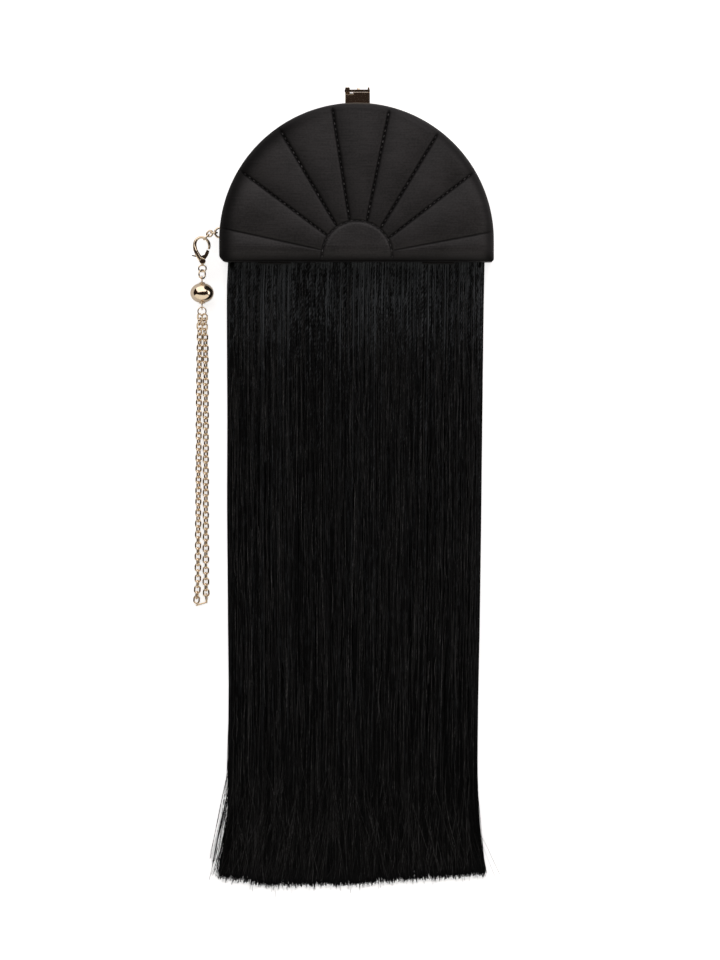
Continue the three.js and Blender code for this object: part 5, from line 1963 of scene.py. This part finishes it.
@dataclass
class CableChain(Part):
    """Loop of cable chain: two strands of links, joined by one link at the bottom."""

    pitch: float = 4.07 * MM
    width: float = 5.3 * MM
    wire: float = 1.35 * MM
    end_place: Triple = (-113.8 * MM, -266.4 * MM, 2.75 * MM)
    end_turn: float = 0.3
    end_length: float = 9.4 * MM
    # Routes of the two strands, in millimetres
    left: Triples = (
        (-114.9, -55.5, 8.3),
        (-115.2, -61.5, 5.2),
        (-115.1, -68.5, 2.75),
        (-115.3, -76, 2.6),
        (-115.8, -114, 2.6),
        (-116.2, -190, 2.6),
        (-116.6, -250, 2.6),
        (-117.5, -264, 2.6),
    )
    right: Triples = (
        (-111.4, -55.5, 8.3),
        (-111.5, -61.5, 5.2),
        (-111.2, -68.5, 2.75),
        (-111, -76, 2.6),
        (-110.7, -114, 2.6),
        (-110.7, -190, 2.6),
        (-110.7, -250, 2.6),
        (-110.3, -262.4, 2.6),
    )

    def roll(self, y: float) -> float:
        """Turn of the chain about its own line: slight for most of it, less near the end."""
        share = min(max((-y - 195 * MM) / (45 * MM), 0), 1)
        return math.radians(28 - 16 * ease(share))

    def strand(self, name: str, route: Sequence[Triple], side: int) -> Object:
        """One strand of links hooked through each other.

        Args:
            name: The piece's name.
            route: Points that the strand follows, in millimetres.
            side: -1 or 1, which sets the links' small uneven turns off between the two strands.

        Returns:
            The joined strand.
        """
        points = np.array(route) * MM
        lengths = np.concatenate([[0], np.cumsum(np.linalg.norm(np.diff(points, axis=0), axis=1))])
        count = round(lengths[-1] / self.pitch)
        places = []
        for index in range(count + 1):
            at = index / count * lengths[-1] + np.array([-0.3, 0.3]) * self.pitch
            ends = np.stack([np.interp(at, lengths, points[:, axis]) for axis in range(3)], axis=-1)
            middle = Vector(ends.mean(axis=0))
            along = Vector(ends[1] - ends[0]).normalized()
            turn = along.to_track_quat("X", "Z").to_matrix().to_4x4()
            roll = self.roll(middle.y) + (math.pi / 2 if index % 2 else 0)
            roll += 0.1 * math.sin(2.1 * index + side)
            places.append(Matrix.Translation(middle) @ turn @ Matrix.Rotation(roll, 4, "X"))
        length = self.pitch + 1.94 * self.wire
        pattern = ring("link", length, self.width, self.wire, Matrix.Identity(4), 20, 8)
        return copies(name, pattern, places)

    def build(self) -> None:
        """Builds both strands and the link that joins them."""
        self.gild(self.strand("chain_left_gold", self.left, 1), "strand_left")
        self.gild(self.strand("chain_right_gold", self.right, -1), "strand_right")
        place = Matrix.Translation(self.end_place) @ Matrix.Rotation(self.end_turn, 4, "Z")
        place = place @ Matrix.Rotation(math.pi / 2, 4, "X")
        link = ring("end_link_gold", self.end_length, self.width, self.wire, place)
        self.gild(link, "end_link")


# Hinges


class Hinges(Part):
    """Two barrel hinges in the bottom walls, whose frame pieces stay and are lacquered."""

    def build(self) -> None:
        """Lacquers the leaves and pins."""
        for part in ("back", "front", "pin"):
            for side in ("left", "right"):
                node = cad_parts[f"hinge_{part}_{side}"]
                node.data.materials.clear()
                node.data.materials.append(self.finishes.lacquer)
                log.info("%s: lacquered", node.name)


# Studio


@dataclass(frozen=True)
class Softbox:
    """Soft light round the bag, placed by its direction as seen from the bag."""

    name: str
    towards: float
    from_vertical: float
    distance: float
    size: Pair
    radiance: float
    colour: Triple = (1, 1, 1)

    def place(self) -> None:
        """Adds the light, facing the bag and not seen itself."""
        data = bpy.data.lights.new(self.name, "AREA")
        data.shape = "RECTANGLE"
        data.size, data.size_y = self.size
        data.color = self.colour
        data.energy = self.radiance * math.pi * self.size[0] * self.size[1]
        light = bpy.data.objects.new(self.name, data)
        turn, tilt = math.radians(self.towards), math.radians(self.from_vertical)
        way = Vector((math.sin(turn) * math.sin(tilt), math.cos(turn) * math.sin(tilt), math.cos(tilt)))
        light.location = way * self.distance
        light.rotation_euler = (-way).to_track_quat("-Z", "Y").to_euler()
        light.visible_camera = False
        bpy.context.scene.collection.objects.link(light)


@dataclass
class Studio:
    """Camera over the bag, pale floor and soft lights."""

    # Part of the picture that the camera sees at the bag's front, and its middle
    picture_height: float = 703.3 * MM
    middle: Pair = (2.56 * MM, -175.5 * MM)
    level: float = 20 * MM
    distance: float = 6.0
    sensor: float = 36.0
    # How much the paper shines by itself: as the camera sees it, and as the gold reflects it
    paper_bright: float = 0.72
    paper_dim: float = 0.05
    paper_size: float = 60.0
    paper_drop: float = 0.05 * MM
    # Colour of the room as light, and as the camera sees it
    room: Triple = (0.02, 0.013, 0.011)
    backdrop: Triple = (0.97, 0.97, 0.97)
    softboxes: tuple[Softbox, ...] = (
        Softbox("key_light", -8, 52, 1.35, (2.7, 2.1), 1.45, (1, 0.965, 0.97)),
        Softbox("side_light", 76, 78, 1.2, (1.5, 0.8), 2.0, (1, 0.93, 0.93)),
        Softbox("front_light", 183, 76, 1.7, (6.4, 3.4), 0.85, (1, 0.965, 0.91)),
    )

    def camera(self) -> None:
        """Long lens straight above the bag."""
        data = bpy.data.cameras.new("camera")
        data.sensor_width = self.sensor
        data.lens = self.sensor * self.distance / self.picture_height
        data.clip_start = 0.1
        data.clip_end = 100
        camera = bpy.data.objects.new("camera", data)
        camera.location = (*self.middle, self.level + self.distance)
        bpy.context.scene.collection.objects.link(camera)
        bpy.context.scene.camera = camera

    def floor(self) -> None:
        """Wide pale floor, bright enough to read as white paper."""
        deselect()
        bpy.ops.mesh.primitive_plane_add(size=self.paper_size, location=(0, 0, -self.paper_drop))
        floor = named("floor")
        paint = Paint("white_paper")
        grain = paint.noise(paint.place(), 3.0, 2.0)
        paint.set(Base_Color=paint.between(grain, (0.78, 0.78, 0.78), (0.82, 0.82, 0.82)))
        seen = Value(paint, paint.node("ShaderNodeLightPath").outputs["Is Camera Ray"])
        paint.set(Emission_Color=paint.between(seen, (self.paper_dim,) * 3, (self.paper_bright,) * 3))
        paint.set(Roughness=0.9, Specular_IOR_Level=0.1, Emission_Strength=1.0)
        floor.data.materials.append(paint.material)
        floor.visible_diffuse = False
        floor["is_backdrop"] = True

    def world(self) -> None:
        """Dim room round the bag, that the camera sees as white."""
        world = bpy.data.worlds.new("studio")
        world.use_nodes = True
        tree = world.node_tree
        room = tree.nodes["Background"]
        room.inputs["Color"].default_value = (*self.room, 1)
        seen = tree.nodes.new("ShaderNodeBackground")
        seen.inputs["Color"].default_value = (*self.backdrop, 1)
        path = tree.nodes.new("ShaderNodeLightPath")
        mix = tree.nodes.new("ShaderNodeMixShader")
        tree.links.new(path.outputs["Is Camera Ray"], mix.inputs[0])
        tree.links.new(room.outputs[0], mix.inputs[1])
        tree.links.new(seen.outputs[0], mix.inputs[2])
        tree.links.new(mix.outputs[0], tree.nodes["World Output"].inputs["Surface"])
        bpy.context.scene.world = world

    def build(self) -> None:
        """Sets up the whole studio."""
        self.camera()
        self.floor()
        for softbox in self.softboxes:
            softbox.place()
        self.world()
        bpy.context.scene.view_settings.view_transform = "Standard"


def write_sizes() -> None:
    """Writes the CAD box and the visual model's box."""
    boxes = {"cad": [list(corner) for corner in CAD_BOX], "visual": [list(corner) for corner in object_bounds()]}
    for name, (low, high) in boxes.items():
        log.info("%s box: %s to %s", name, [round(v, 4) for v in low], [round(v, 4) for v in high])


def main() -> None:
    """Builds the bag and its studio."""
    logging.basicConfig(level=logging.INFO, format="%(message)s")
    Studio().build()
    finishes = Finishes.mixed()
    for part in (Head, QuiltedPanel, Fringe, Catch, Hinges, Eye, UpperLinks, SnapHook, Bead, CableChain):
        log.info("building %s", part.__name__)
        part(finishes).build()
    write_sizes()


if __name__ == "__main__":
    main()
